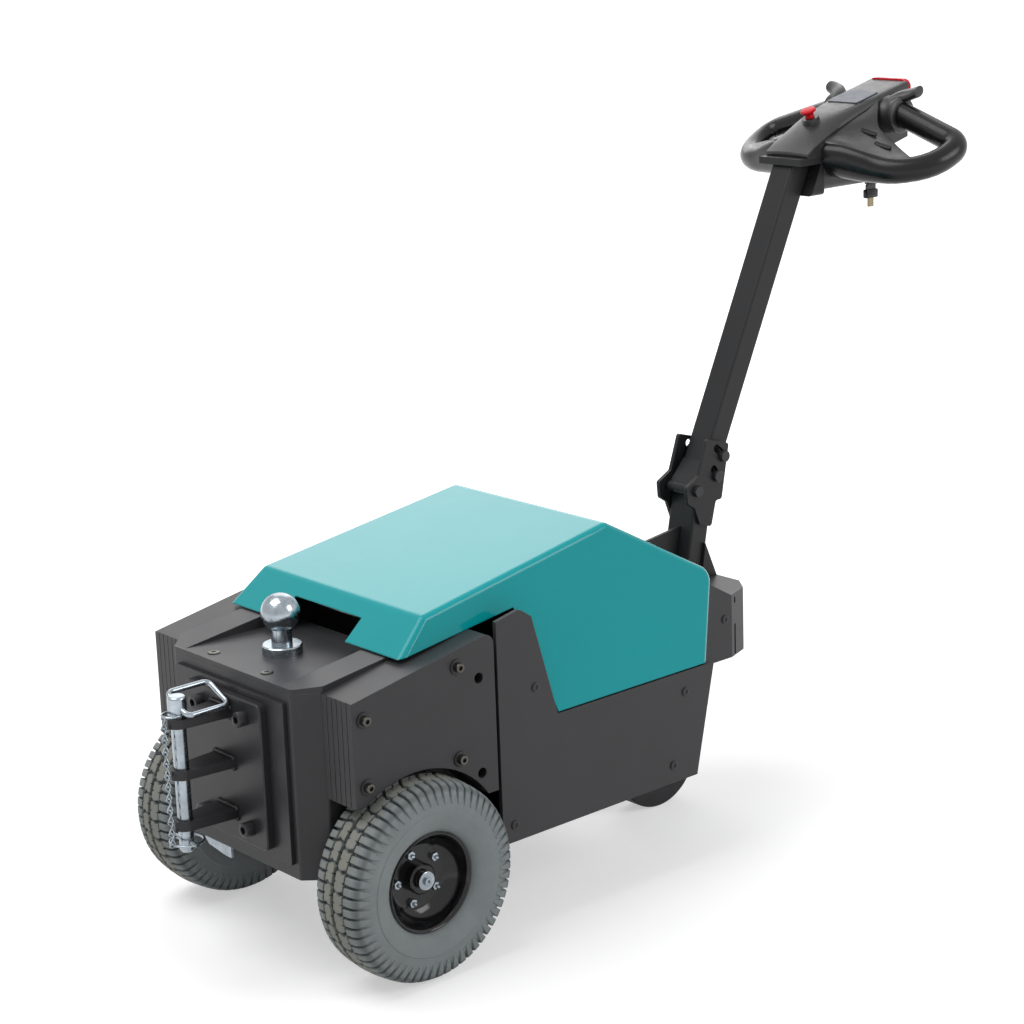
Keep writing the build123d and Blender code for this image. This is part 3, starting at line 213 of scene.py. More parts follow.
class Finish(Nodes):
    """One material's node tree, built from the shader back."""

    def __init__(self, name):
        self.material = bpy.data.materials.new(f"tractor_{name}")
        self.material.use_nodes = True
        super().__init__(self.material.node_tree)
        self.tree.nodes.clear()
        self.shader = self.add("ShaderNodeBsdfPrincipled")
        end = self.add("ShaderNodeOutputMaterial")
        self.tree.links.new(self.shader.outputs["BSDF"], end.inputs["Surface"])
        self.place = self.add("ShaderNodeTexCoord").outputs["Object"]

    def set(self, **values):
        """Feeds the shader's own sockets."""
        for key, value in values.items():
            self.feed(self.shader.inputs[key.replace("_", " ")], value)

    def noise(self, scale, detail=3.0, rough=0.55):
        """Cloudy pattern, with its scale in waves per metre."""
        node = self.add("ShaderNodeTexNoise", Vector=self.place, Scale=scale, Detail=detail, Roughness=rough)
        return node.outputs["Fac"]

    def vector(self, operation, first, second=(0.0, 0.0, 0.0)):
        """One sum of two vectors."""
        node = self.add("ShaderNodeVectorMath", operation=operation)
        self.feed(node.inputs[0], first)
        self.feed(node.inputs[1], second)
        return node

    def radius(self, centre, mask):
        """Distance from a line through a centre, with the line's own direction masked out."""
        across = self.vector("MULTIPLY", self.vector("SUBTRACT", self.place, centre).outputs["Vector"], mask)
        return self.vector("LENGTH", across.outputs["Vector"]).outputs["Value"]

    def mix(self, share, first, second):
        """Blend of two colours."""
        node = self.add("ShaderNodeMix", data_type="RGBA")
        self.feed(node.inputs["Factor"], share)
        for socket, value in ((node.inputs[6], first), (node.inputs[7], second)):
            self.feed(socket, value if isinstance(value, bpy.types.NodeSocket) else (*value, 1.0))
        return node.outputs[2]

    def bump(self, height, strength, depth, round_over=0.0012):
        """Fine relief, in metres of depth, over softly rounded edges."""
        edge = self.add("ShaderNodeBevel", samples=4, Radius=round_over)
        node = self.add(
            "ShaderNodeBump", Height=height, Strength=strength, Distance=depth, Normal=edge.outputs["Normal"]
        )
        return node.outputs["Normal"]

    def edges(self, radius, low, high):
        """Share of wear along the edges."""
        edge = self.add("ShaderNodeBevel", samples=6, Radius=radius)
        plain = self.add("ShaderNodeNewGeometry").outputs["Normal"]
        along = self.vector("DOT_PRODUCT", edge.outputs["Normal"], plain)
        return self.span(self.math("SUBTRACT", 1.0, along.outputs["Value"]), low, high)


BARE_EDGE = (0.13, 0.125, 0.12)
# Distances from the axle between which painted shade darkens the tread's grooves
GROOVE_SHADE_FOOT = (0.1175, 0.1215)


def shade(base, factor):
    """A colour made lighter or darker."""
    return tuple(min(1.0, part * factor) for part in base)


def powder_coat(name, base, rough, wear, gloss):
    """Satin powder coat with a fine texture and rubbed edges."""
    made = Finish(name)
    cloud = made.noise(7.0, 4.0)
    tone = made.mix(made.span(cloud, 0.3, 0.7), shade(base, 0.88), shade(base, 1.12))
    rub = made.math("MULTIPLY", made.edges(0.0022, 0.02, 0.3), made.span(made.noise(60.0), 0.42, 0.68))
    tone = made.mix(made.math("MULTIPLY", rub, wear), tone, BARE_EDGE)
    made.set(
        Base_Color=tone,
        Roughness=made.span(cloud, 0.3, 0.7, rough - 0.04, rough + 0.05),
        Normal=made.bump(made.noise(1400.0, 2.0), 0.2, 0.0002),
        IOR=gloss,
    )
    return made.material


def gloss_paint(name, base):
    """Gloss paint with a clear top layer and faint orange peel."""
    made = Finish(name)
    cloud = made.noise(3.0, 3.0)
    tone = made.mix(made.span(cloud, 0.35, 0.65), shade(base, 0.97), shade(base, 1.03))
    made.set(
        Base_Color=tone,
        Roughness=made.span(made.noise(30.0), 0.3, 0.7, 0.28, 0.34),
        Normal=made.bump(made.noise(260.0, 1.0), 0.04, 0.0004, 0.002),
        Specular_IOR_Level=0.05,
        Coat_Weight=1.0,
        Coat_IOR=1.29,
        Coat_Roughness=0.06,
    )
    return made.material


def plated(name, base, rough):
    """Bright plated steel with faint handling marks."""
    made = Finish(name)
    cloud = made.noise(55.0, 4.0, 0.6)
    tone = made.mix(made.span(cloud, 0.35, 0.7), shade(base, 0.72), shade(base, 1.05))
    made.set(
        Base_Color=tone,
        Roughness=made.span(made.noise(220.0, 4.0), 0.3, 0.7, rough - 0.06, rough + 0.1),
        Normal=made.bump(made.noise(900.0), 0.06, 0.0002, 0.0004),
        Metallic=1.0,
    )
    return made.material


def moulded(name, base, rough, grain, depth, gloss=1.4):
    """Moulded plastic or rubber with a fine grain."""
    made = Finish(name)
    cloud = made.noise(9.0, 4.0)
    tone = made.mix(made.span(cloud, 0.3, 0.7), shade(base, 0.9), shade(base, 1.12))
    made.set(
        Base_Color=tone,
        Roughness=made.span(made.noise(80.0, 4.0), 0.3, 0.7, rough - 0.05, rough + 0.06),
        Normal=made.bump(made.noise(grain, 2.0), depth, 0.0003, 0.002),
        IOR=gloss,
    )
    return made.material


def tyre_rubber(name, base, dust):
    """Grey rubber, with painted shade down in the tread between the lugs, and dusty where it has run."""
    made = Finish(name)
    cloud = made.noise(26.0, 5.0, 0.62)
    fine = made.noise(240.0, 4.0, 0.6)
    away = made.add("ShaderNodeAttribute", attribute_name="from_axle").outputs["Fac"]
    tone = made.mix(made.span(cloud, 0.3, 0.7), shade(base, 0.9), shade(base, 1.1))
    # Painted shade: the rubber down between the lugs is darkened, standing in for the shade in the tread's
    # grooves
    below_lugs = made.span(away, TYRE_RADIUS - 0.0035, TYRE_RADIUS - 0.0065)
    groove_shade = made.math("MULTIPLY", made.span(away, *GROOVE_SHADE_FOOT), below_lugs)
    tone = made.mix(made.math("MULTIPLY", groove_shade, 0.55), tone, shade(base, 0.3))
    run = made.span(away, TYRE_RADIUS - 0.0028, TYRE_RADIUS - 0.0012)
    patchy = made.span(made.math("ADD", cloud, fine), 0.7, 1.15, 0.35, 0.95)
    tone = made.mix(made.math("MULTIPLY", run, patchy), tone, dust)
    film = made.span(made.math("ADD", made.noise(14.0, 5.0), fine), 0.95, 1.4, 0.0, 0.3)
    tone = made.mix(film, tone, dust)
    made.set(
        Base_Color=tone,
        Roughness=made.span(cloud, 0.3, 0.7, 0.62, 0.78),
        Normal=made.bump(made.noise(700.0, 3.0), 0.2, 0.0003, 0.0006),
        Specular_IOR_Level=0.3,
    )
    return made.material


def finishes(paint):
    """All materials, by the record's slot names and the trim's own."""
    rows = (
        (powder_coat, "anthracite", paint.coat, 0.4, 0.4, 1.36),
        (powder_coat, "black_steel", paint.black, 0.34, 0.2, 1.36),
        (powder_coat, "tiller_coat", paint.tiller, 0.4, 0.4, 1.3),
        (powder_coat, "rim_black", shade(paint.black, 0.3), 0.12, 0.1, 1.42),
        (plated, "oxide", paint.oxide, 0.3),
        (plated, "zinc", paint.zinc, 0.2),
        (plated, "yellow_zinc", paint.brass, 0.34),
        (gloss_paint, "teal", paint.hood),
        (plated, "cast", paint.cast, 0.45),
        (tyre_rubber, "grey_rubber", paint.tyre, paint.dust),
        (moulded, "black_rubber", paint.rubber, 0.6, 600.0, 0.2, 1.35),
        (moulded, "light_rim", paint.castor_rim, 0.4, 800.0, 0.08),
        (moulded, "battery_case", paint.battery, 0.5, 700.0, 0.15),
        (moulded, "head_plastic", paint.plastic, 0.34, 900.0, 0.2, 1.46),
        (moulded, "grip_plastic", paint.grip, 0.25, 900.0, 0.06, 1.36),
        (moulded, "red_plastic", paint.red, 0.3, 600.0, 0.04, 1.22),
        (moulded, "screen", paint.screen, 0.42, 300.0, 0.05),
    )
    return {name: make(name, *values) for make, name, *values in rows}


# Modelling helpers

def clear():
    """Leaves edit mode with nothing selected."""
    if bpy.context.object and bpy.context.object.mode != "OBJECT":
        bpy.ops.object.mode_set(mode="OBJECT")
    bpy.ops.object.select_all(action="DESELECT")


def placed(name, data):
    """A new object in the scene."""
    made = bpy.data.objects.new(name, data)
    bpy.context.scene.collection.objects.link(made)
    return made


def begin(name):
    """Takes up the primitive just added, with its place in its mesh, and opens it for editing."""
    piece = bpy.context.object
    piece.name = name
    piece.data.name = name
    bpy.ops.object.transform_apply(location=True, rotation=True, scale=True)
    bpy.ops.object.mode_set(mode="EDIT")
    bpy.ops.mesh.select_mode(type="VERT")
    bpy.ops.mesh.select_all(action="SELECT")
    return piece


def pick(piece, kind, test):
    """Selects the vertices, edges or faces that pass a test."""
    bpy.ops.mesh.select_mode(type=kind)
    bpy.ops.mesh.select_all(action="DESELECT")
    mesh = bmesh.from_edit_mesh(piece.data)
    parts = {"VERT": mesh.verts, "EDGE": mesh.edges, "FACE": mesh.faces}[kind]
    chosen = [part for part in parts if test(part)]
    if not chosen:
        raise RuntimeError(f"nothing to pick on {piece.name}")
    for part in chosen:
        part.select_set(True)
    mesh.select_flush_mode()
    bmesh.update_edit_mesh(piece.data)


def pick_top(piece):
    """Selects the faces that look straight up."""
    pick(piece, "FACE", lambda face: face.normal.z > 0.999)


def reshape(piece, move):
    """Puts each selected vertex where a function says."""
    mesh = bmesh.from_edit_mesh(piece.data)
    for vertex in mesh.verts:
        if vertex.select:
            vertex.co = move(vertex.co)
    bmesh.update_edit_mesh(piece.data)


def slide(x=0.0, y=0.0, z=0.0):
    """Extrudes the selection by a step."""
    bpy.ops.mesh.extrude_region_move(TRANSFORM_OT_translate={"value": (x, y, z)})


def close(piece, slot, body, *nodes, finish=None, angle=35.0):
    """Ends a piece: merged, facing out, smooth, finished and riding on its body."""
    bpy.ops.mesh.select_all(action="SELECT")
    bpy.ops.mesh.remove_doubles(threshold=MERGE_GAP)
    bpy.ops.mesh.normals_make_consistent(inside=False)
    clear()
    piece.select_set(True)
    bpy.context.view_layer.objects.active = piece
    bpy.ops.object.shade_smooth_by_angle(angle=math.radians(angle))
    piece.data.materials.clear()
    piece.data.materials.append(bpy.data.materials[f"tractor_{finish or slot}"])
    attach(piece, body)
    if nodes:
        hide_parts(*nodes)


def trace(name, points):
    """Draws a line of vertices through points, all selected."""
    clear()
    bpy.ops.mesh.primitive_plane_add(size=0.01, location=points[0])
    piece = begin(name)
    bpy.ops.mesh.merge(type="CENTER")
    for last, point in zip(points, points[1:]):
        bpy.ops.mesh.extrude_vertices_move(TRANSFORM_OT_translate={"value": Vector(point) - Vector(last)})
    bpy.ops.mesh.select_all(action="SELECT")
    return piece


def turned(name, profile, steps=24):
    """Turns a profile of radius and height about the upright axis."""
    piece = trace(name, [(radius, 0.0, height) for radius, height in profile])
    bpy.ops.mesh.spin(steps=steps, angle=math.tau, center=(0.0, 0.0, 0.0), axis=(0.0, 0.0, 1.0))
    return piece


def strip(name, sections):
    """Runs a closed section through a row of places."""
    clear()
    bpy.ops.mesh.primitive_circle_add(vertices=len(sections[0]), radius=0.01, fill_type="NGON")
    piece = begin(name)
    mesh = bmesh.from_edit_mesh(piece.data)
    order = list(next(iter(mesh.faces)).verts)
    for vertex, corner in zip(order, sections[0]):
        vertex.co = corner
    bmesh.update_edit_mesh(piece.data)
    for last, section in zip(sections, sections[1:]):
        slide()
        reshape(piece, lambda place: section[nearest(place, last)])
    return piece


def nearest(place, places):
    """Number of the place in a row that lies closest."""
    return min(range(len(places)), key=lambda number: (Vector(places[number]) - place).length)


def copies(piece, name, places):
    """Joins a copy of a pattern piece at each place, opens it for editing and drops the pattern."""
    clear()
    made = []
    for place in places:
        copy = placed(name, piece.data.copy())
        copy.data.transform(place)
        copy.select_set(True)
        made.append(copy)
    bpy.context.view_layer.objects.active = made[0]
    if len(made) > 1:
        bpy.ops.object.join()
    bpy.data.objects.remove(piece)
    joined = made[0]
    joined.data.name = name
    bpy.ops.object.mode_set(mode="EDIT")
    return joined


def fit(pattern, name, places, slot, body, *nodes, **look):
    """Sets copies of a pattern piece at places and ends them as one piece."""
    close(copies(pattern, name, places), slot, body, *nodes, **look)


def aim(place, outward, turn=0.0):
    """Sets a piece that is modelled upright at the origin on a place, facing outward."""
    tilt = Vector(outward).to_track_quat("Z", "Y").to_matrix().to_4x4()
    return Matrix.Translation(place) @ tilt @ Matrix.Rotation(turn, 4, "Z")


def round_head(name, corners_round, radius, height, chamfer):
    """Head with a rounded upper edge, its top selected."""
    clear()
    bpy.ops.mesh.primitive_cylinder_add(
        vertices=corners_round, radius=radius, depth=height, location=(0.0, 0.0, height / 2)
    )
    piece = begin(name)
    pick(piece, "EDGE", lambda edge: all(end.co.z > height * 0.99 for end in edge.verts))
    bpy.ops.mesh.bevel(offset=chamfer, segments=2, affect="EDGES")
    pick_top(piece)
    return piece


def socket_screw(name, radius, height, socket):
    """Round head with a hexagon socket."""
    piece = round_head(name, 24, radius, height, min(radius, height) * 0.16)
    bpy.ops.mesh.inset(thickness=radius * 0.84 - socket)
    sixth = math.pi / 3

    def to_hexagon(place):
        turn = math.atan2(place.y, place.x) % sixth - sixth / 2
        reach = socket * math.cos(sixth / 2) / math.cos(turn)
        share = reach / math.hypot(place.x, place.y)
        return Vector((place.x * share, place.y * share, place.z))

    reshape(piece, to_hexagon)
    slide(z=-height * 0.62)
    return piece


def hexagon_bolt(name, radius, height, stud):
    """Six-sided nut on the end of its stud."""
    piece = round_head(name, 6, radius, height, height * 0.16)
    bpy.ops.mesh.inset(thickness=radius * 0.34)
    slide(z=stud)
    bpy.ops.mesh.bevel(offset=stud * 0.25, segments=1, affect="EDGES")
    return piece


# Tread, in millimetres: distance from the tyre's middle plane, then from the axle

CARCASS = (
    (27.7, 61.0), (27.7, 64.0), (31.0, 66.5), (33.6, 68.6), (35.6, 70.6), (38.2, 76.0), (40.5, 83.0),
    (41.9, 89.5), (42.3, 92.4), (41.3, 93.6), (41.6, 100.0), (40.4, 109.0), (37.5, 116.5), (33.0, 120.6),
    (20.0, 123.0), (0.0, 124.0),
)
LUG_ROW = (
    (20.0, 129.2, 4.2), (31.0, 127.6, 4.6), (38.4, 123.6, 4.8), (42.0, 114.5, 3.7), (42.4, 104.0, 1.4),
)
LUG_ROOT = ((19.0, 121.5), (29.0, 120.5), (34.0, 117.5), (37.5, 110.0), (40.6, 103.0))
BLOCK = (
    (-11.6, 2.8), (-1.3, 2.8), (0.0, 6.0), (1.3, 2.8), (8.6, 2.8), (12.0, 6.4), (12.0, 11.6), (9.4, 17.4),
    (1.6, 17.4), (0.4, 14.4), (-0.8, 17.4), (-12.0, 17.4), (-8.8, 12.0), (-11.8, 7.2),
)


def round_wheel(along, across, radius):
    """A place on the left wheel, by distance round the tread, across it and from the axle, in millimetres."""
    turn = along / radius
    return WHEEL + Vector((math.sin(turn) * radius, across, math.cos(turn) * radius)) / 1000


def about_axle(turn):
    """Moves a turn from the origin to the left wheel's middle."""
    middle = Matrix.Translation(WHEEL)
    return middle @ turn @ middle.inverted()


def crown(across):
    """Radius of the tread's crown at a distance from its middle."""
    return 1000 * TYRE_RADIUS - 8.5 * (across / 39.0) ** 2


def repeat_round(count):
    """Repeats the selection round the left wheel's axle."""
    bpy.ops.mesh.select_all(action="SELECT")
    bpy.ops.mesh.spin(
        steps=count - 1, dupli=True, angle=math.tau * (count - 1) / count, center=WHEEL, axis=(0.0, 1.0, 0.0)
    )


class TRACTOR_OT_tyres(Operator):
    """Models the drive tyres: carcass, shoulder lugs and centre blocks"""

    bl_idname = "tractor.tyres"
    bl_label = "Model the drive tyres"

    lug_offset = 0.35
    block_foot = 122.0

    def execute(self, context):
        count = context.scene.tractor_fittings.lugs
        turned_half = about_axle(Matrix.Rotation(math.pi / count, 4, "Y"))
        flipped = about_axle(Matrix.Rotation(math.pi, 4, "Z"))
        rows = []
        for row, offset in ((self.lugs(count), self.lug_offset), (self.blocks(count // 2), 0.0)):
            clear()
            other = placed(row.name + "_across", row.data.copy())
            other.data.transform(flipped @ turned_half)
            shift = about_axle(Matrix.Rotation(offset * math.tau / count, 4, "Y"))
            row.data.transform(shift)
            other.data.transform(shift)
            rows += [row, other]
        left = self.carcass()
        clear()
        for piece in (*rows, left):
            piece.select_set(True)
        bpy.context.view_layer.objects.active = left
        bpy.ops.object.join()
        bpy.ops.object.mode_set(mode="EDIT")
        close(left, "grey_rubber", "drive_wheel_left", "tyre_left", angle=28.0)
        away = left.data.attributes.new("from_axle", "FLOAT", "POINT")
        for number, vertex in enumerate(left.data.vertices):
            away.data[number].value = math.hypot(vertex.co.x - WHEEL.x, vertex.co.z - WHEEL.z)
        right = placed("drive_tyre_right", left.data.copy())
        right.data.transform(Matrix.Translation((2 * WHEEL.x, 0.0, 0.0)) @ Matrix.Rotation(math.pi, 4, "Z"))
        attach(right, "drive_wheel_right")
        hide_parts("tyre_right")
        return {"FINISHED"}

    def carcass(self):
        """Body of the tyre, with a ring on each sidewall."""
        outline = [*CARCASS, *((-across, radius) for across, radius in reversed(CARCASS[:-1]))]
        points = [round_wheel(0.0, across, radius) for across, radius in (*outline, outline[0])]
        piece = trace("drive_tyre_left", points)
        bpy.ops.mesh.spin(steps=96, angle=math.tau, center=WHEEL, axis=(0.0, 1.0, 0.0))
        return piece

    def lugs(self, count):
        """Shoulder lugs of one side, from the crown down the sidewall."""
        sections = []
        for (across, radius, half), (root_across, root) in zip(LUG_ROW, LUG_ROOT):
            sections.append((
                round_wheel(-half - 0.6, root_across, root), round_wheel(-half, across, radius),
                round_wheel(half, across, radius), round_wheel(half + 0.6, root_across, root),
            ))
        piece = strip("shoulder_lugs", sections)
        tops = [corner for section in sections for corner in section[1:3]]

        def on_top(edge):
            return all(min((end.co - place).length for place in tops) < MERGE_GAP for end in edge.verts)

        pick(piece, "EDGE", on_top)
        bpy.ops.mesh.bevel(offset=0.0007, segments=1, affect="EDGES")
        repeat_round(count)
        return piece

    def blocks(self, count):
        """Centre blocks of one side, notched along the middle."""
        foot = [round_wheel(along * 1.08, across, self.block_foot) for along, across in BLOCK]
        top = [round_wheel(along, across, crown(across)) for along, across in BLOCK]
        piece = strip("centre_blocks", [foot, top])
        bpy.ops.mesh.bevel(offset=0.0006, segments=1, affect="EDGES")
        repeat_round(count)
        return piece


# Wheels and fasteners

RIM = (
    (0.0, 60.8), (28.0, 60.8), (29.6, 62.0), (31.2, 64.2), (32.2, 64.0), (32.4, 62.6), (31.0, 60.6),
    (28.0, 59.0), (22.0, 57.4), (15.0, 54.0), (9.0, 49.2), (5.0, 44.0), (3.2, 40.2), (3.0, 38.5), (3.0, 18.5),
)
DISC_HALF = RIM[-1][0] / 1000
FIRST_BOLT = math.radians(-36.0)
WHEEL_BOLT = {"radius": 0.0062, "height": 0.0052, "stud": 0.0042}
HUB_BOLT = {"radius": 0.0056, "height": 0.0036, "socket": 0.0027}
HUB_WASHER = (
    (0.0046, 0.0), (0.0118, 0.0), (0.0124, 0.0006), (0.0124, 0.0018), (0.0116, 0.0024), (0.0046, 0.0024),
    (0.0046, 0.0),
)


class TRACTOR_OT_rims(Operator):
    """Turns the deep-dished drive wheel rims"""

    bl_idname = "tractor.rims"
    bl_label = "Turn the rims"

    def execute(self, context):
        outline = [*RIM, *((-across, radius) for across, radius in reversed(RIM))]
        for name, side in SIDES:
            middle = Vector((WHEEL.x, side * abs(WHEEL.y), WHEEL.z))
            points = [middle + Vector((0.0, across, radius)) / 1000 for across, radius in outline]
            rim = trace(f"wheel_rim_{name}", points)
            bpy.ops.mesh.spin(steps=72, angle=math.tau, center=middle, axis=(0.0, 1.0, 0.0))
            close(rim, "black_steel", f"drive_wheel_{name}", f"rim_{name}", finish="rim_black")
        return {"FINISHED"}


class TRACTOR_OT_wheel_bolts(Operator):
    """Sets the wheel bolts on the discs and a bolt with its washer on each hub"""

    bl_idname = "tractor.wheel_bolts"
    bl_label = "Bolt the drive wheels"

    def execute(self, context):
        fittings = context.scene.tractor_fittings
        for name, side in SIDES:
            disc = Vector((WHEEL.x, side * (abs(WHEEL.y) + DISC_HALF), WHEEL.z))
            places = []
            for number in range(fittings.bolts):
                turn = FIRST_BOLT + number * math.tau / fittings.bolts
                reach = Vector((math.cos(turn), 0.0, math.sin(turn))) * fittings.bolt_circle
                places.append(aim(disc + reach, (0.0, side, 0.0), turn))
            bolt = hexagon_bolt("wheel_bolt", **WHEEL_BOLT)
            fit(bolt, f"wheel_bolts_{name}", places, "zinc", f"drive_wheel_{name}")
            cap = corners(f"hub_{name}")[0 if side < 0 else 1].y
            seat = aim((WHEEL.x, cap, WHEEL.z), (0.0, side, 0.0), 0.3)
            washer = turned("hub_washer", HUB_WASHER)
            fit(washer, f"hub_washer_{name}", [seat], "zinc", f"drive_wheel_{name}")
            head = socket_screw("hub_bolt", **HUB_BOLT)
            lift = seat @ Matrix.Translation((0.0, 0.0, 0.002))
            fit(head, f"hub_bolt_{name}", [lift], "zinc", f"drive_wheel_{name}")
        return {"FINISHED"}


# Screw places in millimetres: behind the axle and up, behind and across (deck), or across and up (hitch)

PANEL_SCREWS = ((199.0, 330.0), (466.5, 256.0), (442.0, 157.0), (157.0, 155.0))
BLOCK_BOLTS = ((-75.5, 357.5), (71.4, 388.6), (-74.8, 271.8), (71.4, 268.2))
DECK_SCREWS = ((-100.0, -51.0), (-100.0, 64.0))
HITCH_SCREWS = ((-47.3, 336.0), (-47.3, 190.5), (47.3, 336.0), (47.3, 190.5))
TAIL_SCREW = (639.6, 118.0, 297.5)
DECK_SCREW = {"radius": 0.0082, "height": 0.0012, "socket": 0.0036}
BLOCK_WASHER = (
    (0.0042, 0.0), (0.0096, 0.0), (0.0102, 0.0005), (0.0102, 0.0016), (0.0094, 0.0022), (0.0042, 0.0022),
    (0.0042, 0.0),
)


class TRACTOR_OT_screws(Operator):
    """Sets the screws of panels, tail box, blocks, deck and hitch plate"""

    bl_idname = "tractor.screws"
    bl_label = "Set the screws"

    def execute(self, context):
        fittings = context.scene.tractor_fittings
        across = [(side, (0.0, side, 0.0)) for side in (-1, 1)]
        flat = socket_screw("panel_screw", fittings.screw, 0.0016, fittings.screw * 0.5)
        panels = [
            aim(behind(x, side * SIDE_Y_MM, z), outward, x)
            for side, outward in across for x, z in PANEL_SCREWS
        ]
        back, out, up = TAIL_SCREW
        panels += [aim(behind(back, side * out, up), outward) for side, outward in across]
        fit(flat, "panel_screws", panels, "black_steel", "chassis")
        blocks = [
            (behind(x, side * SIDE_Y_MM, z), outward, x + z)
            for side, outward in across for x, z in BLOCK_BOLTS
        ]
        ring = turned("block_washer", BLOCK_WASHER)
        fit(ring, "block_washers", [aim(*row) for row in blocks], "black_steel", "chassis")
        head = socket_screw("block_bolt", fittings.block_bolt, 0.0066, fittings.block_bolt * 0.52)
        lift = Matrix.Translation((0.0, 0.0, 0.0018))
        lifted = [aim(*row) @ lift for row in blocks]
        fit(head, "block_bolts", lifted, "black_steel", "chassis", finish="oxide")
        deck = [aim(behind(x, y, DECK_Z_MM), (0.0, 0.0, 1.0), y) for x, y in DECK_SCREWS]
        sunk = socket_screw("deck_screw", **DECK_SCREW)
        fit(sunk, "deck_screws", deck, "anthracite", "chassis", finish="oxide")
        cap = socket_screw("hitch_screw", fittings.hitch_screw, 0.0125, fittings.hitch_screw * 0.56)
        hitch = [
            aim(Vector((HITCH_FACE_X, y / 1000, z / 1000)), (-1.0, 0.0, 0.0), z) for y, z in HITCH_SCREWS
        ]
        fit(cap, "hitch_screws", hitch, "black_steel", "chassis")
        return {"FINISHED"}


class TRACTOR_OT_welds(Operator):
    """Lays the weld beads along the roots of the drawbar lugs"""

    bl_idname = "tractor.welds"
    bl_label = "Weld the lugs"

    bead = 0.0034
    stand = 0.0012
    lug_thick = 0.012
    ripples = 17
    spacing = 0.0026

    def execute(self, context):
        low, high = corners("hitch_lugs")
        clear()
        bpy.ops.mesh.primitive_uv_sphere_add(segments=10, ring_count=6, radius=self.bead)
        ripple = begin("weld_ripple")
        bpy.ops.transform.resize(value=(1.0, 0.72, 0.8))
        places = []
        pitch = (high.z - self.lug_thick - low.z) / 2
        for number in range(3):
            foot = low.z + number * pitch
            for z, lean in ((foot + self.lug_thick + self.stand, 0.5), (foot - self.stand, -0.5)):
                for step in range(self.ripples):
                    y = (step - (self.ripples - 1) / 2) * self.spacing
                    turn = Matrix.Rotation(lean + 0.12 * math.sin(step * 2.3), 4, "Y")
                    spot = Vector((HITCH_FACE_X - self.stand, y, z + 0.0002 * math.sin(step * 1.7)))
                    places.append(Matrix.Translation(spot) @ turn)
        fit(ripple, "lug_welds", places, "black_steel", "chassis", finish="anthracite")
        return {"FINISHED"}


STRAP_PROFILE = (
    (-74.0, 0.0), (-104.0, 0.0), (-104.0, -27.0), (-100.5, -27.0), (-100.5, -3.5), (-74.0, -3.5),
)
STRAP_RUN = ((50.0, 1.0), (62.0, 1.0), (100.0, 0.8), (108.0, 0.55))


class TRACTOR_OT_strap(Operator):
    """Folds the plated strap under the front of the hitch box"""

    bl_idname = "tractor.strap"
    bl_label = "Fold the strap"

    def execute(self, context):
        under = 1000 * corners("hitch_box")[0].z
        sections = []
        for y, deep in STRAP_RUN:
            sections.append([
                behind(x, y, under + z * (deep if z < -4.0 else 1.0)) for x, z in STRAP_PROFILE
            ])
        close(strip("axle_strap", sections), "zinc", "chassis", angle=20.0)
        return {"FINISHED"}


class TRACTOR_OT_chain(Operator):
    """Models the safety chain as twisted wire links with a long eye round the pin"""

    bl_idname = "tractor.chain"
    bl_label = "Hang the safety chain"

    wire = 0.00125
    bend = 0.0042
    straight = 0.0098
    links = 11
    pitch = 0.0153
    twist = math.radians(45.0)
    eye_wire = 0.0015
    eye_bend = 0.012

    def execute(self, context):
        low, high = corners("safety_chain")
        pin = (corners("tow_pin")[0] + corners("tow_pin")[1]) / 2
        clear()
        bpy.ops.mesh.primitive_torus_add(
            major_radius=self.bend, minor_radius=self.wire, major_segments=24, minor_segments=8
        )
        link = begin("chain_link")
        half = self.straight / 2
        whole = half + self.bend + self.wire

        def stretch(place):
            reach = place.y + math.copysign(half, place.y) if abs(place.y) > 1e-6 else 0.0
            turn = self.twist * max(-1.0, min(1.0, reach / (half + self.bend * 0.4)))
            return Vector((
                place.x * math.cos(turn) - place.z * math.sin(turn),
                place.x * math.sin(turn) + place.z * math.cos(turn),
                reach,
            ))

        reshape(link, stretch)
        front = low.x + self.bend + self.wire
        lowest = low.z + whole
        slant = Matrix.Rotation(math.pi / 4, 4, "Z")
        places = [
            Matrix.Translation((front, pin.y, lowest + number * self.pitch)) @ slant
            for number in range(self.links)
        ]
        fit(link, "chain_links", places, "zinc", "chassis", "safety_chain", angle=60.0)
        clear()
        bpy.ops.mesh.primitive_torus_add(
            major_radius=self.eye_bend, minor_radius=self.eye_wire, major_segments=32, minor_segments=8,
            location=(pin.x, pin.y, high.z - self.eye_wire),
        )
        eye = begin("chain_eye")
        reach = pin.x - front - self.eye_bend
        pick(eye, "VERT", lambda vertex: vertex.co.x < pin.x - MERGE_GAP)
        bpy.ops.transform.translate(value=(-reach, 0.0, 0.0))
        close(eye, "zinc", "chassis", angle=60.0)
        return {"FINISHED"}


class TRACTOR_OT_pull_ring(Operator):
    """Thickens the tow pin's pull ring to its wire"""

    bl_idname = "tractor.pull_ring"
    bl_label = "Thicken the pull ring"

    swell = 0.0009

    def execute(self, context):
        clear()
        ring = placed("pull_ring", NODES["pin_ring"].data.copy())
        ring.matrix_world = NODES["pin_ring"].matrix_world.copy()
        ring.select_set(True)
        context.view_layer.objects.active = ring
        begin("pull_ring")
        bpy.ops.mesh.remove_doubles(threshold=MERGE_GAP)
        bpy.ops.mesh.normals_make_consistent(inside=False)
        bpy.ops.transform.shrink_fatten(value=self.swell)
        close(ring, "zinc", "chassis", "pin_ring", angle=60.0)
        return {"FINISHED"}


# Control head, in millimetres

# Corners of a grip's centre line in its loop's plane, each with its bend
GRIP_LINE = ((-16.0, -73.0, 0.0), (15.0, 84.0, 77.0), (103.0, 84.0, 26.0), (128.0, -41.0, 0.0))
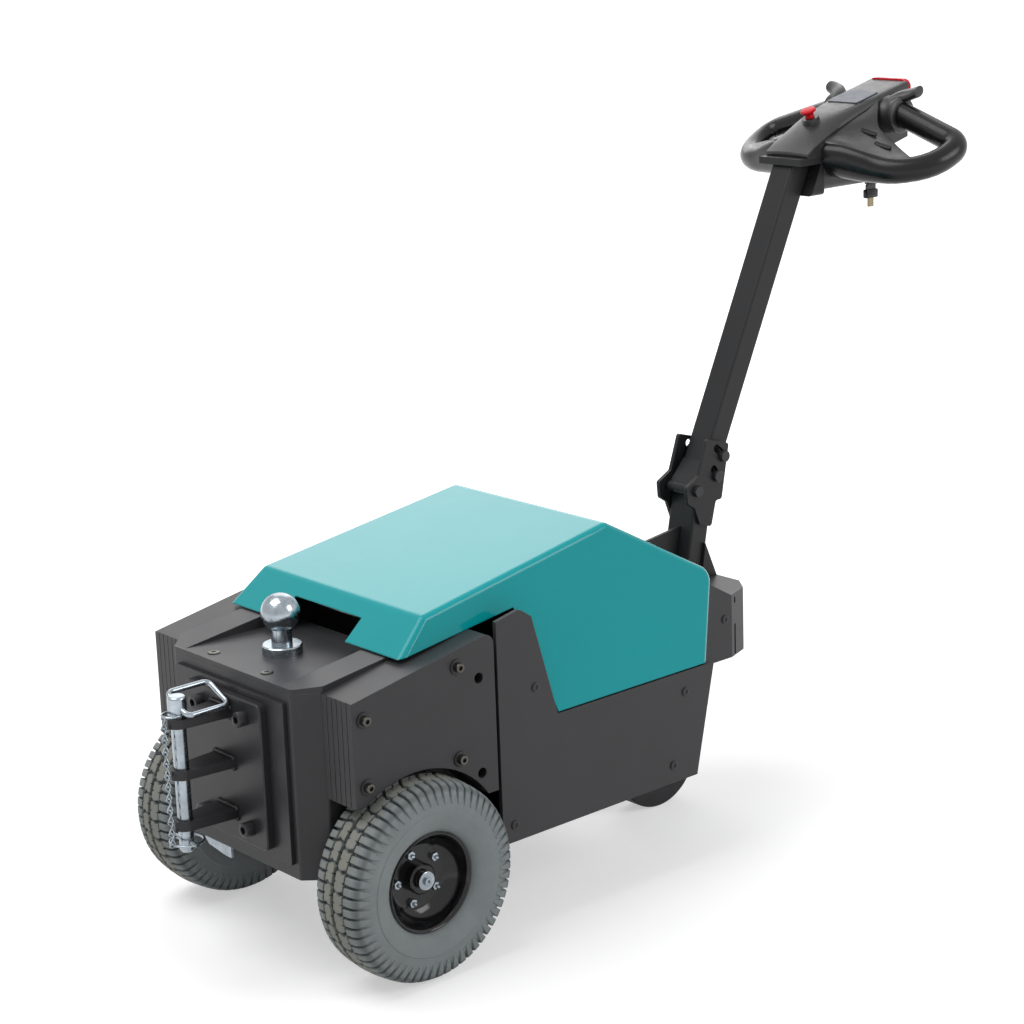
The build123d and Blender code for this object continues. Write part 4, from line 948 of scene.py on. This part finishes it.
# Distance along a grip, then its half width, half height and lift
GRIP_SIZES = (
    (0.0, 17.0, 26.0, -2.0), (36.0, 17.5, 28.0, 0.0), (62.0, 18.0, 26.0, -1.5), (88.0, 18.0, 21.5, -2.0),
    (112.0, 18.0, 19.5, -1.0), (135.0, 18.0, 18.0, 0.0), (600.0, 18.0, 18.0, 0.0),
)
# Wing's edge at the head, behind the axle, and its rows towards the grip, in the loop's plane
WING_EDGE = (
    (936.0, -38.0, 938.0), (950.0, -38.0, 943.0), (964.0, -39.0, 948.0), (989.0, -39.0, 958.0),
    (1016.0, -39.0, 969.5), (1041.0, -39.0, 981.5), (1062.0, -39.0, 991.0),
)
WING_ROWS = (
    ((-14.0, -69.0, 27.5), (0.0, -64.0, 29.0), (14.0, -62.0, 26.0), (33.0, -61.0, 18.0), (52.0, -59.0, 12.0),
     (68.0, -56.0, 7.0), (80.0, -50.0, 3.0)),
    ((-14.3, -69.5, 27.0), (-5.0, -60.0, 29.0), (5.0, -51.0, 28.0), (20.0, -38.0, 21.0), (40.0, -33.0, 14.0),
     (57.0, -28.0, 9.0), (70.0, -22.0, 4.0)),
    ((-14.6, -70.0, 26.5), (-9.0, -57.5, 28.8), (-2.0, -43.0, 29.5), (8.0, -24.0, 23.5), (23.0, -8.0, 16.5),
     (36.0, 8.0, 12.0), (48.0, 16.0, 7.0)),
    ((-15.0, -71.0, 25.0), (-12.0, -55.0, 27.5), (-8.0, -36.0, 28.5), (-3.0, -10.0, 24.0), (4.0, 15.0, 18.6),
     (10.0, 38.0, 17.6), (24.0, 58.0, 17.0)),
)
# Cover's cross-sections: place behind the axle, edge height, fullness and top height
COVER = (
    (901.5, 918.5, 1.2, 920.5), (914.0, 927.0, 1.6, 931.0), (930.0, 936.0, 2.2, 944.0),
    (954.0, 947.0, 2.8, 962.0), (976.0, 956.0, 4.0, 969.5), (1000.0, 965.5, 6.8, 977.0),
    (1040.0, 979.5, 12.0, 986.6), (1080.0, 991.0, 13.0, 996.4), (1124.5, 1003.0, 13.0, 1007.0),
)
COVER_HALF = 40.8
COVER_SHARES = (-1.0, -0.93, -0.84, -0.72, -0.56, -0.36, -0.14, 0.14, 0.36, 0.56, 0.72, 0.84, 0.93, 1.0)
# Throttle drum's radius and height, in metres
DRUM = (
    (0.0, 0.0), (0.026, 0.0), (0.0278, 0.0015), (0.028, 0.004), (0.0268, 0.009), (0.0258, 0.015),
    (0.0262, 0.021), (0.0272, 0.0245), (0.0268, 0.027), (0.0248, 0.0284), (0.02, 0.0288), (0.0, 0.0288),
)
# Thumb lever's sections: distance out, rear end, front end and lift
LEVER = (
    (40.0, -10.0, 20.0, -12.0), (50.0, -8.0, 25.0, -6.0), (59.0, 0.0, 33.0, -4.0), (69.0, 8.0, 40.0, -5.0),
    (79.0, 15.0, 42.0, -3.0), (86.0, 18.0, 41.0, -1.0), (88.0, 18.5, 40.0, -0.5),
)
# Stop button's radius and height, in metres
BUTTON_TALL = 0.013
BUTTON = (
    (0.0, 0.0), (0.0072, 0.0), (0.0066, 0.002), (0.0064, 0.0052), (0.0078, 0.0072), (0.0108, 0.0086),
    (0.0115, 0.0094), (0.0115, 0.0112), (0.0106, 0.0124), (0.0086, BUTTON_TALL), (0.0, BUTTON_TALL + 0.0002),
)
KEY_CUTS = (4.2, 4.2, 2.6, 4.0, 3.0, 4.2, 2.4, 3.6, 1.2)
# Marks on the wings: place ahead and outward, size, height and finish; the slot's black finish is painted
# shade in the vent's opening
WING_MARKS = (
    ("wing_slot", (52.0, -43.0), (7.0, 36.0), 13.0, "black_rubber"),
    ("wing_rocker", (33.0, 0.0), (7.0, 29.0), 14.6, "grip_plastic"),
)


def loop_place(side):
    """Plane of a grip loop: along it, across it and up from it."""
    rise = 0.468
    lean = 0.28
    along = Vector((1.0, 0.0, rise)).normalized()
    up = Vector((-rise, side * lean, 1.0)).normalized()
    turn = Matrix((along, up.cross(along), up)).transposed().to_4x4()
    return Matrix.Translation(behind(969.0, side * 100.0, 902.0)) @ turn


def rounded(line, most, steps=9):
    """Places along a line of corners, each with its bend, no farther apart than a limit."""
    spots = [Vector(corner[:2]) for corner in line]
    places = [spots[0]]
    for last, spot, following, corner in zip(spots, spots[1:], spots[2:], line[1:]):
        back = (last - spot).normalized()
        ahead = (following - spot).normalized()
        half = back.angle(ahead) / 2
        middle = spot + (back + ahead).normalized() * (corner[2] / math.sin(half))
        first = spot + back * (corner[2] / math.tan(half)) - middle
        final = spot + ahead * (corner[2] / math.tan(half)) - middle
        for step in range(steps + 1):
            places.append(middle + first.lerp(final, step / steps).normalized() * corner[2])
    places.append(spots[-1])
    fine = [places[0]]
    for last, place in zip(places, places[1:]):
        parts = max(1, math.ceil((place - last).length / most))
        fine += [last.lerp(place, part / parts) for part in range(1, parts + 1)]
    return fine


def between(rows, value):
    """Values of a table at a place between its rows."""
    for first, second in zip(rows, rows[1:]):
        if value <= second[0]:
            share = (value - first[0]) / (second[0] - first[0])
            return [a + (b - a) * share for a, b in zip(first[1:], second[1:])]
    return list(rows[-1][1:])


def soften(levels):
    """Smooths the open piece with subdivision."""
    bpy.ops.object.mode_set(mode="OBJECT")
    bpy.ops.object.modifier_add(type="SUBSURF")
    smooth = bpy.context.object.modifiers[-1]
    smooth.levels = levels
    smooth.render_levels = levels
    smooth.boundary_smooth = "PRESERVE_CORNERS"
    bpy.ops.object.modifier_apply(modifier=smooth.name)
    bpy.ops.object.mode_set(mode="EDIT")
    bpy.ops.mesh.select_mode(type="FACE")
    bpy.ops.mesh.select_all(action="SELECT")


def net(name, rows):
    """Spreads a grid over rows of places."""
    clear()
    across = len(rows[0]) - 1
    down = len(rows) - 1
    bpy.ops.mesh.primitive_grid_add(x_subdivisions=across, y_subdivisions=down, size=2.0)
    piece = begin(name)
    reshape(piece, lambda place: rows[round((place.y + 1) / 2 * down)][round((place.x + 1) / 2 * across)])
    return piece


class TRACTOR_OT_grips(Operator):
    """Models the loop grips and the wings that join them to the head"""

    bl_idname = "tractor.grips"
    bl_label = "Model the grips"

    longest_step = 12.0
    ring_sides = 20
    wing_under = -0.013

    def execute(self, context):
        for name, side in SIDES:
            plane = loop_place(side)
            self.loop(name, side, plane)
            self.wing(name, side, plane)
        return {"FINISHED"}

    def loop(self, name, side, plane):
        """Grip bar, tall at its root and round past the elbow."""
        line = rounded(GRIP_LINE, self.longest_step)
        sections = []
        run = 0.0
        for number, place in enumerate(line):
            last = line[max(0, number - 1)]
            following = line[min(len(line) - 1, number + 1)]
            run += (place - last).length
            wide, tall, lift = between(GRIP_SIZES, run)
            ahead = (following - last).normalized()
            ring = []
            for step in range(self.ring_sides):
                turn = math.tau * step / self.ring_sides
                out = wide * math.cos(turn)
                up = lift + tall * math.sin(turn)
                spot = (place.x - ahead.y * out, side * (place.y + ahead.x * out), up)
                ring.append(plane @ (Vector(spot) / 1000))
            sections.append(ring)
        grip = strip(f"grip_{name}", sections)
        close(grip, "grip_plastic", "tiller", f"grip_loop_{name}", angle=50.0)

    def wing(self, name, side, plane):
        """Hollow web between the head's edge and the grip."""
        edge = [behind(x, -side * y, z) for x, y, z in WING_EDGE]
        rows = [edge]
        for row in WING_ROWS:
            rows.append([plane @ (Vector((along, side * out, up)) / 1000) for along, out, up in row])
        wing = net(f"grip_wing_{name}", rows)
        soften(2)
        slide()
        under = plane.inverted()

        def lower(place):
            flat = under @ place
            flat.z = self.wing_under
            return plane @ flat

        reshape(wing, lower)
        close(wing, "head_plastic", "tiller", angle=50.0)


class TRACTOR_OT_head_cover(Operator):
    """Models the crowned cover on the control head and the thumb throttles"""

    bl_idname = "tractor.head_cover"
    bl_label = "Cover the head"

    display_front = 1000.0
    front_lift = 2.0
    rear_lift = 0.8
    wall = 0.005
    lever_rise = math.radians(23.0)
    lever_half = 9.0

    def execute(self, context):
        rows = []
        for x, edge, power, top in COVER:
            lift = self.front_lift if x < self.display_front else self.rear_lift
            rows.append([
                behind(x, COVER_HALF * share, top + lift - (top - edge) * abs(share) ** power)
                for share in COVER_SHARES
            ])
        cover = net("head_cover", rows)
        soften(1)
        slide(z=-self.wall)
        close(cover, "head_plastic", "tiller", angle=40.0)
        for name, side in SIDES:
            self.throttle(name, side)
        return {"FINISHED"}

    def throttle(self, name, side):
        """Waisted drum with a swept thumb lever."""
        drum = turned("throttle_drum", DRUM, 40)
        place = aim(behind(1080.0, side * 39.5, 963.0), (0.0, side, 0.0))
        fit(drum, f"throttle_drum_{name}", [place], "head_plastic", "tiller", f"throttle_{name}")
        along = Vector((math.cos(self.lever_rise), 0.0, math.sin(self.lever_rise)))
        up = Vector((-math.sin(self.lever_rise), 0.0, math.cos(self.lever_rise)))
        half = self.lever_half
        sections = []
        for out, rear, front, lift in LEVER:
            root = behind(1066.0, side * out, 986.0)
            sections.append([
                root + along * (spot / 1000) + up * ((lift + rise) / 1000)
                for spot, rise in ((rear, -half), (front, -half), (front, half), (rear, half))
            ])
        lever = strip(f"throttle_lever_{name}", sections)
        soften(2)
        close(lever, "head_plastic", "tiller", angle=60.0)


class TRACTOR_OT_head_trim(Operator):
    """Models the stop button, the key's blade and the small marks on the grips' wings"""

    bl_idname = "tractor.head_trim"
    bl_label = "Trim the control head"

    button_lean = math.radians(21.0)
    bow_up = 0.0195
    blade_up = 0.0145
    blade_back = -0.0052
    blade_half = 0.0018
    cut_pitch = 0.0018

    def execute(self, context):
        self.stop_button()
        self.key_blade()
        self.wing_slots()
        return {"FINISHED"}

    def stop_button(self):
        """Mushroom button with a narrow waist, on its leaning collar."""
        low, high = corners("emergency_stop")
        up = Vector((-math.sin(self.button_lean), 0.0, math.cos(self.button_lean)))
        button = turned("stop_button", BUTTON, 32)
        place = aim((low + high) / 2 - up * (BUTTON_TALL / 2), up)
        fit(button, "stop_button", [place], "red_plastic", "tiller", "emergency_stop")

    def key_blade(self):
        """Flat blade with a row of cuts, below the key's wide bow."""
        low, high = corners("key_switch")
        middle = (low + high) / 2
        seat = (middle.x, middle.y, low.z + self.bow_up)
        clear()
        bpy.ops.mesh.primitive_cube_add(size=0.001, location=seat)
        bow = begin("key_bow")
        bpy.ops.transform.resize(value=(25.0, 9.0, 13.0), center_override=seat)
        bpy.ops.mesh.bevel(offset=0.0018, segments=2, affect="EDGES")
        close(bow, "head_plastic", "tiller", finish="grip_plastic")
        back, half = self.blade_back, self.blade_half
        sections = []
        for step, cut in enumerate(KEY_CUTS):
            z = low.z + self.blade_up - step * self.cut_pitch
            front = cut / 1000 + 0.001
            sections.append([
                Vector((middle.x + x, middle.y + y, z))
                for x, y in ((back, -half), (front, -half), (front, half), (back, half))
            ])
        blade = strip("key_blade", sections)
        close(blade, "head_plastic", "tiller", finish="yellow_zinc", angle=20.0)

    def wing_slots(self):
        """Slot in black rubber as painted shade of the vent's opening, and raised rocker on the upper side of
        each grip's wing.
        """
        for name, side in SIDES:
            plane = loop_place(side)
            for kind, (ahead, outward), (deep, wide), height, finish in WING_MARKS:
                clear()
                bpy.ops.mesh.primitive_cube_add(size=0.001)
                piece = begin(f"{kind}_{name}")
                bpy.ops.transform.resize(value=(deep, wide, 2.4))
                pick(piece, "EDGE", lambda edge: abs(edge.verts[0].co.z - edge.verts[1].co.z) > 0.001)
                bpy.ops.mesh.bevel(offset=deep * 0.00045, segments=4, affect="EDGES")
                pick_top(piece)
                bpy.ops.mesh.inset(thickness=0.0009)
                slide(z=-0.0007)
                bpy.ops.mesh.select_all(action="SELECT")
                place = plane @ Matrix.Translation(Vector((ahead, side * outward, height)) / 1000)
                reshape(piece, lambda corner: place @ corner)
                close(piece, "head_plastic", "tiller", finish=finish)


# Nodes whose finish differs from their slot's
TILLER_STEEL = (
    "tiller_tube", "tiller_foot", "tiller_gussets", "hinge_plate_left", "hinge_plate_right", "head_bracket",
)
OWN_FINISH = {"hub_left": "rim_black", "hub_right": "rim_black", **dict.fromkeys(TILLER_STEEL, "tiller_coat")}


class TRACTOR_OT_finishes(Operator):
    """Gives every node of the frame its finish"""

    bl_idname = "tractor.finishes"
    bl_label = "Finish the frame"

    def execute(self, context):
        made = finishes(context.scene.tractor_paint)
        for name, node in NODES.items():
            node.data.materials.clear()
            node.data.materials.append(made[OWN_FINISH.get(name, SLOT_OF[name])])
        return {"FINISHED"}


class TRACTOR_OT_studio(Operator):
    """Sets up the floor, the even light, the lamps and the camera"""

    bl_idname = "tractor.studio"
    bl_label = "Build the studio"

    lamp_target = (0.0, 0.0, 0.35)
    sensor = 36.0

    def execute(self, context):
        studio = context.scene.tractor_studio
        self.floor()
        self.sky(context.scene, studio)
        self.lamp("key_lamp", (-1.8, 0.6, 4.0), 2.8, studio.key_power)
        self.lamp("side_lamp", (1.5, -3.2, 2.3), 1.8, studio.side_power)
        self.lamp("rim_lamp", (2.3, 3.1, 3.1), 3.6, studio.rim_power)
        self.camera(context.scene, studio)
        context.scene.view_settings.view_transform = "Standard"
        return {"FINISHED"}

    def floor(self):
        """Pale floor that turns white away from the tractor and keeps its shadow."""
        clear()
        bpy.ops.mesh.primitive_plane_add(size=80.0, location=(0.0, 0.0, 0.0))
        floor = bpy.context.object
        floor.name = "studio_floor"
        made = Finish("studio_floor")
        away = made.span(made.radius((0.0, 0.0, 0.0), (1.0, 1.0, 0.0)), 0.9, 2.2, 0.47, 1.0)
        made.set(
            Base_Color=made.mix(made.noise(1.5), (0.67, 0.67, 0.67), (0.69, 0.69, 0.69)),
            Emission_Strength=made.math("MULTIPLY", made.seen(), away),
            Emission_Color=(1.0, 1.0, 1.0, 1.0),
            Roughness=0.8,
            Specular_IOR_Level=0.1,
        )
        floor.data.materials.append(made.material)

    def sky(self, scene, studio):
        """Even light, and plain white where it is seen itself."""
        world = bpy.data.worlds.new("studio_sky")
        scene.world = world
        world.use_nodes = True
        made = Nodes(world.node_tree)
        back = made.tree.nodes["Background"]
        made.feed(back.inputs["Strength"], made.span(made.seen(), 0.0, 1.0, studio.sky, 1.0))
        back.inputs["Color"].default_value = (1.0, 1.0, 1.0, 1.0)

    def lamp(self, name, place, size, power):
        """Square soft lamp that faces the tractor."""
        lamp = bpy.data.lights.new(name, "AREA")
        lamp.shape = "SQUARE"
        lamp.size = size
        lamp.energy = power
        obj = placed(name, lamp)
        obj.location = place
        aimed = Vector(self.lamp_target) - Vector(place)
        obj.rotation_euler = aimed.to_track_quat("-Z", "Y").to_euler()

    def camera(self, scene, studio):
        """Camera at the photograph's angle."""
        ahead = Vector((
            math.sin(studio.yaw) * math.cos(studio.pitch),
            math.cos(studio.yaw) * math.cos(studio.pitch),
            math.sin(studio.pitch),
        ))
        level = Vector((math.cos(studio.yaw), -math.sin(studio.yaw), 0.0))
        above = level.cross(ahead)
        right = level * math.cos(studio.roll) + above * math.sin(studio.roll)
        up = above * math.cos(studio.roll) - level * math.sin(studio.roll)
        data = bpy.data.cameras.new("photo_camera")
        data.lens = studio.lens
        data.sensor_width = self.sensor
        eye = placed("photo_camera", data)
        turn = Matrix((right, up, -ahead)).transposed().to_4x4()
        eye.matrix_world = Matrix.Translation(studio.eye) @ turn
        scene.camera = eye


class TRACTOR_PT_dressing(Panel):
    """Lists the pieces that dress the frame"""

    bl_idname = "TRACTOR_PT_dressing"
    bl_label = "Tow tractor"
    bl_space_type = "VIEW_3D"
    bl_region_type = "UI"
    bl_category = "Tractor"

    def draw(self, context):
        """Shows every setting and a button for each step."""
        scene = context.scene
        for group in (scene.tractor_paint, scene.tractor_fittings, scene.tractor_studio):
            column = self.layout.column(align=True)
            for key in group.bl_rna.properties.keys():
                if key not in ("rna_type", "name"):
                    column.prop(group, key)
        for operator in STEPS:
            self.layout.operator(operator.bl_idname)


STEPS = (
    TRACTOR_OT_finishes, TRACTOR_OT_tyres, TRACTOR_OT_rims, TRACTOR_OT_wheel_bolts, TRACTOR_OT_screws,
    TRACTOR_OT_welds, TRACTOR_OT_strap, TRACTOR_OT_chain, TRACTOR_OT_pull_ring, TRACTOR_OT_grips,
    TRACTOR_OT_head_cover, TRACTOR_OT_head_trim, TRACTOR_OT_studio,
)
CLASSES = (TractorPaint, TractorFittings, TractorStudio, *STEPS, TRACTOR_PT_dressing)


def register():
    """Adds the classes and the scene's settings."""
    for kind in CLASSES:
        bpy.utils.register_class(kind)
    bpy.types.Scene.tractor_paint = PointerProperty(type=TractorPaint)
    bpy.types.Scene.tractor_fittings = PointerProperty(type=TractorFittings)
    bpy.types.Scene.tractor_studio = PointerProperty(type=TractorStudio)


def unregister():
    """Takes the settings and the classes away again."""
    del bpy.types.Scene.tractor_studio
    del bpy.types.Scene.tractor_fittings
    del bpy.types.Scene.tractor_paint
    for kind in reversed(CLASSES):
        bpy.utils.unregister_class(kind)


def main():
    """Dresses the frame step by step."""
    register()
    bpy.ops.tractor.finishes()
    bpy.ops.tractor.tyres()
    bpy.ops.tractor.rims()
    bpy.ops.tractor.wheel_bolts()
    bpy.ops.tractor.screws()
    bpy.ops.tractor.welds()
    bpy.ops.tractor.strap()
    bpy.ops.tractor.chain()
    bpy.ops.tractor.pull_ring()
    bpy.ops.tractor.grips()
    bpy.ops.tractor.head_cover()
    bpy.ops.tractor.head_trim()
    bpy.ops.tractor.studio()


if __name__ == "__main__":
    main()
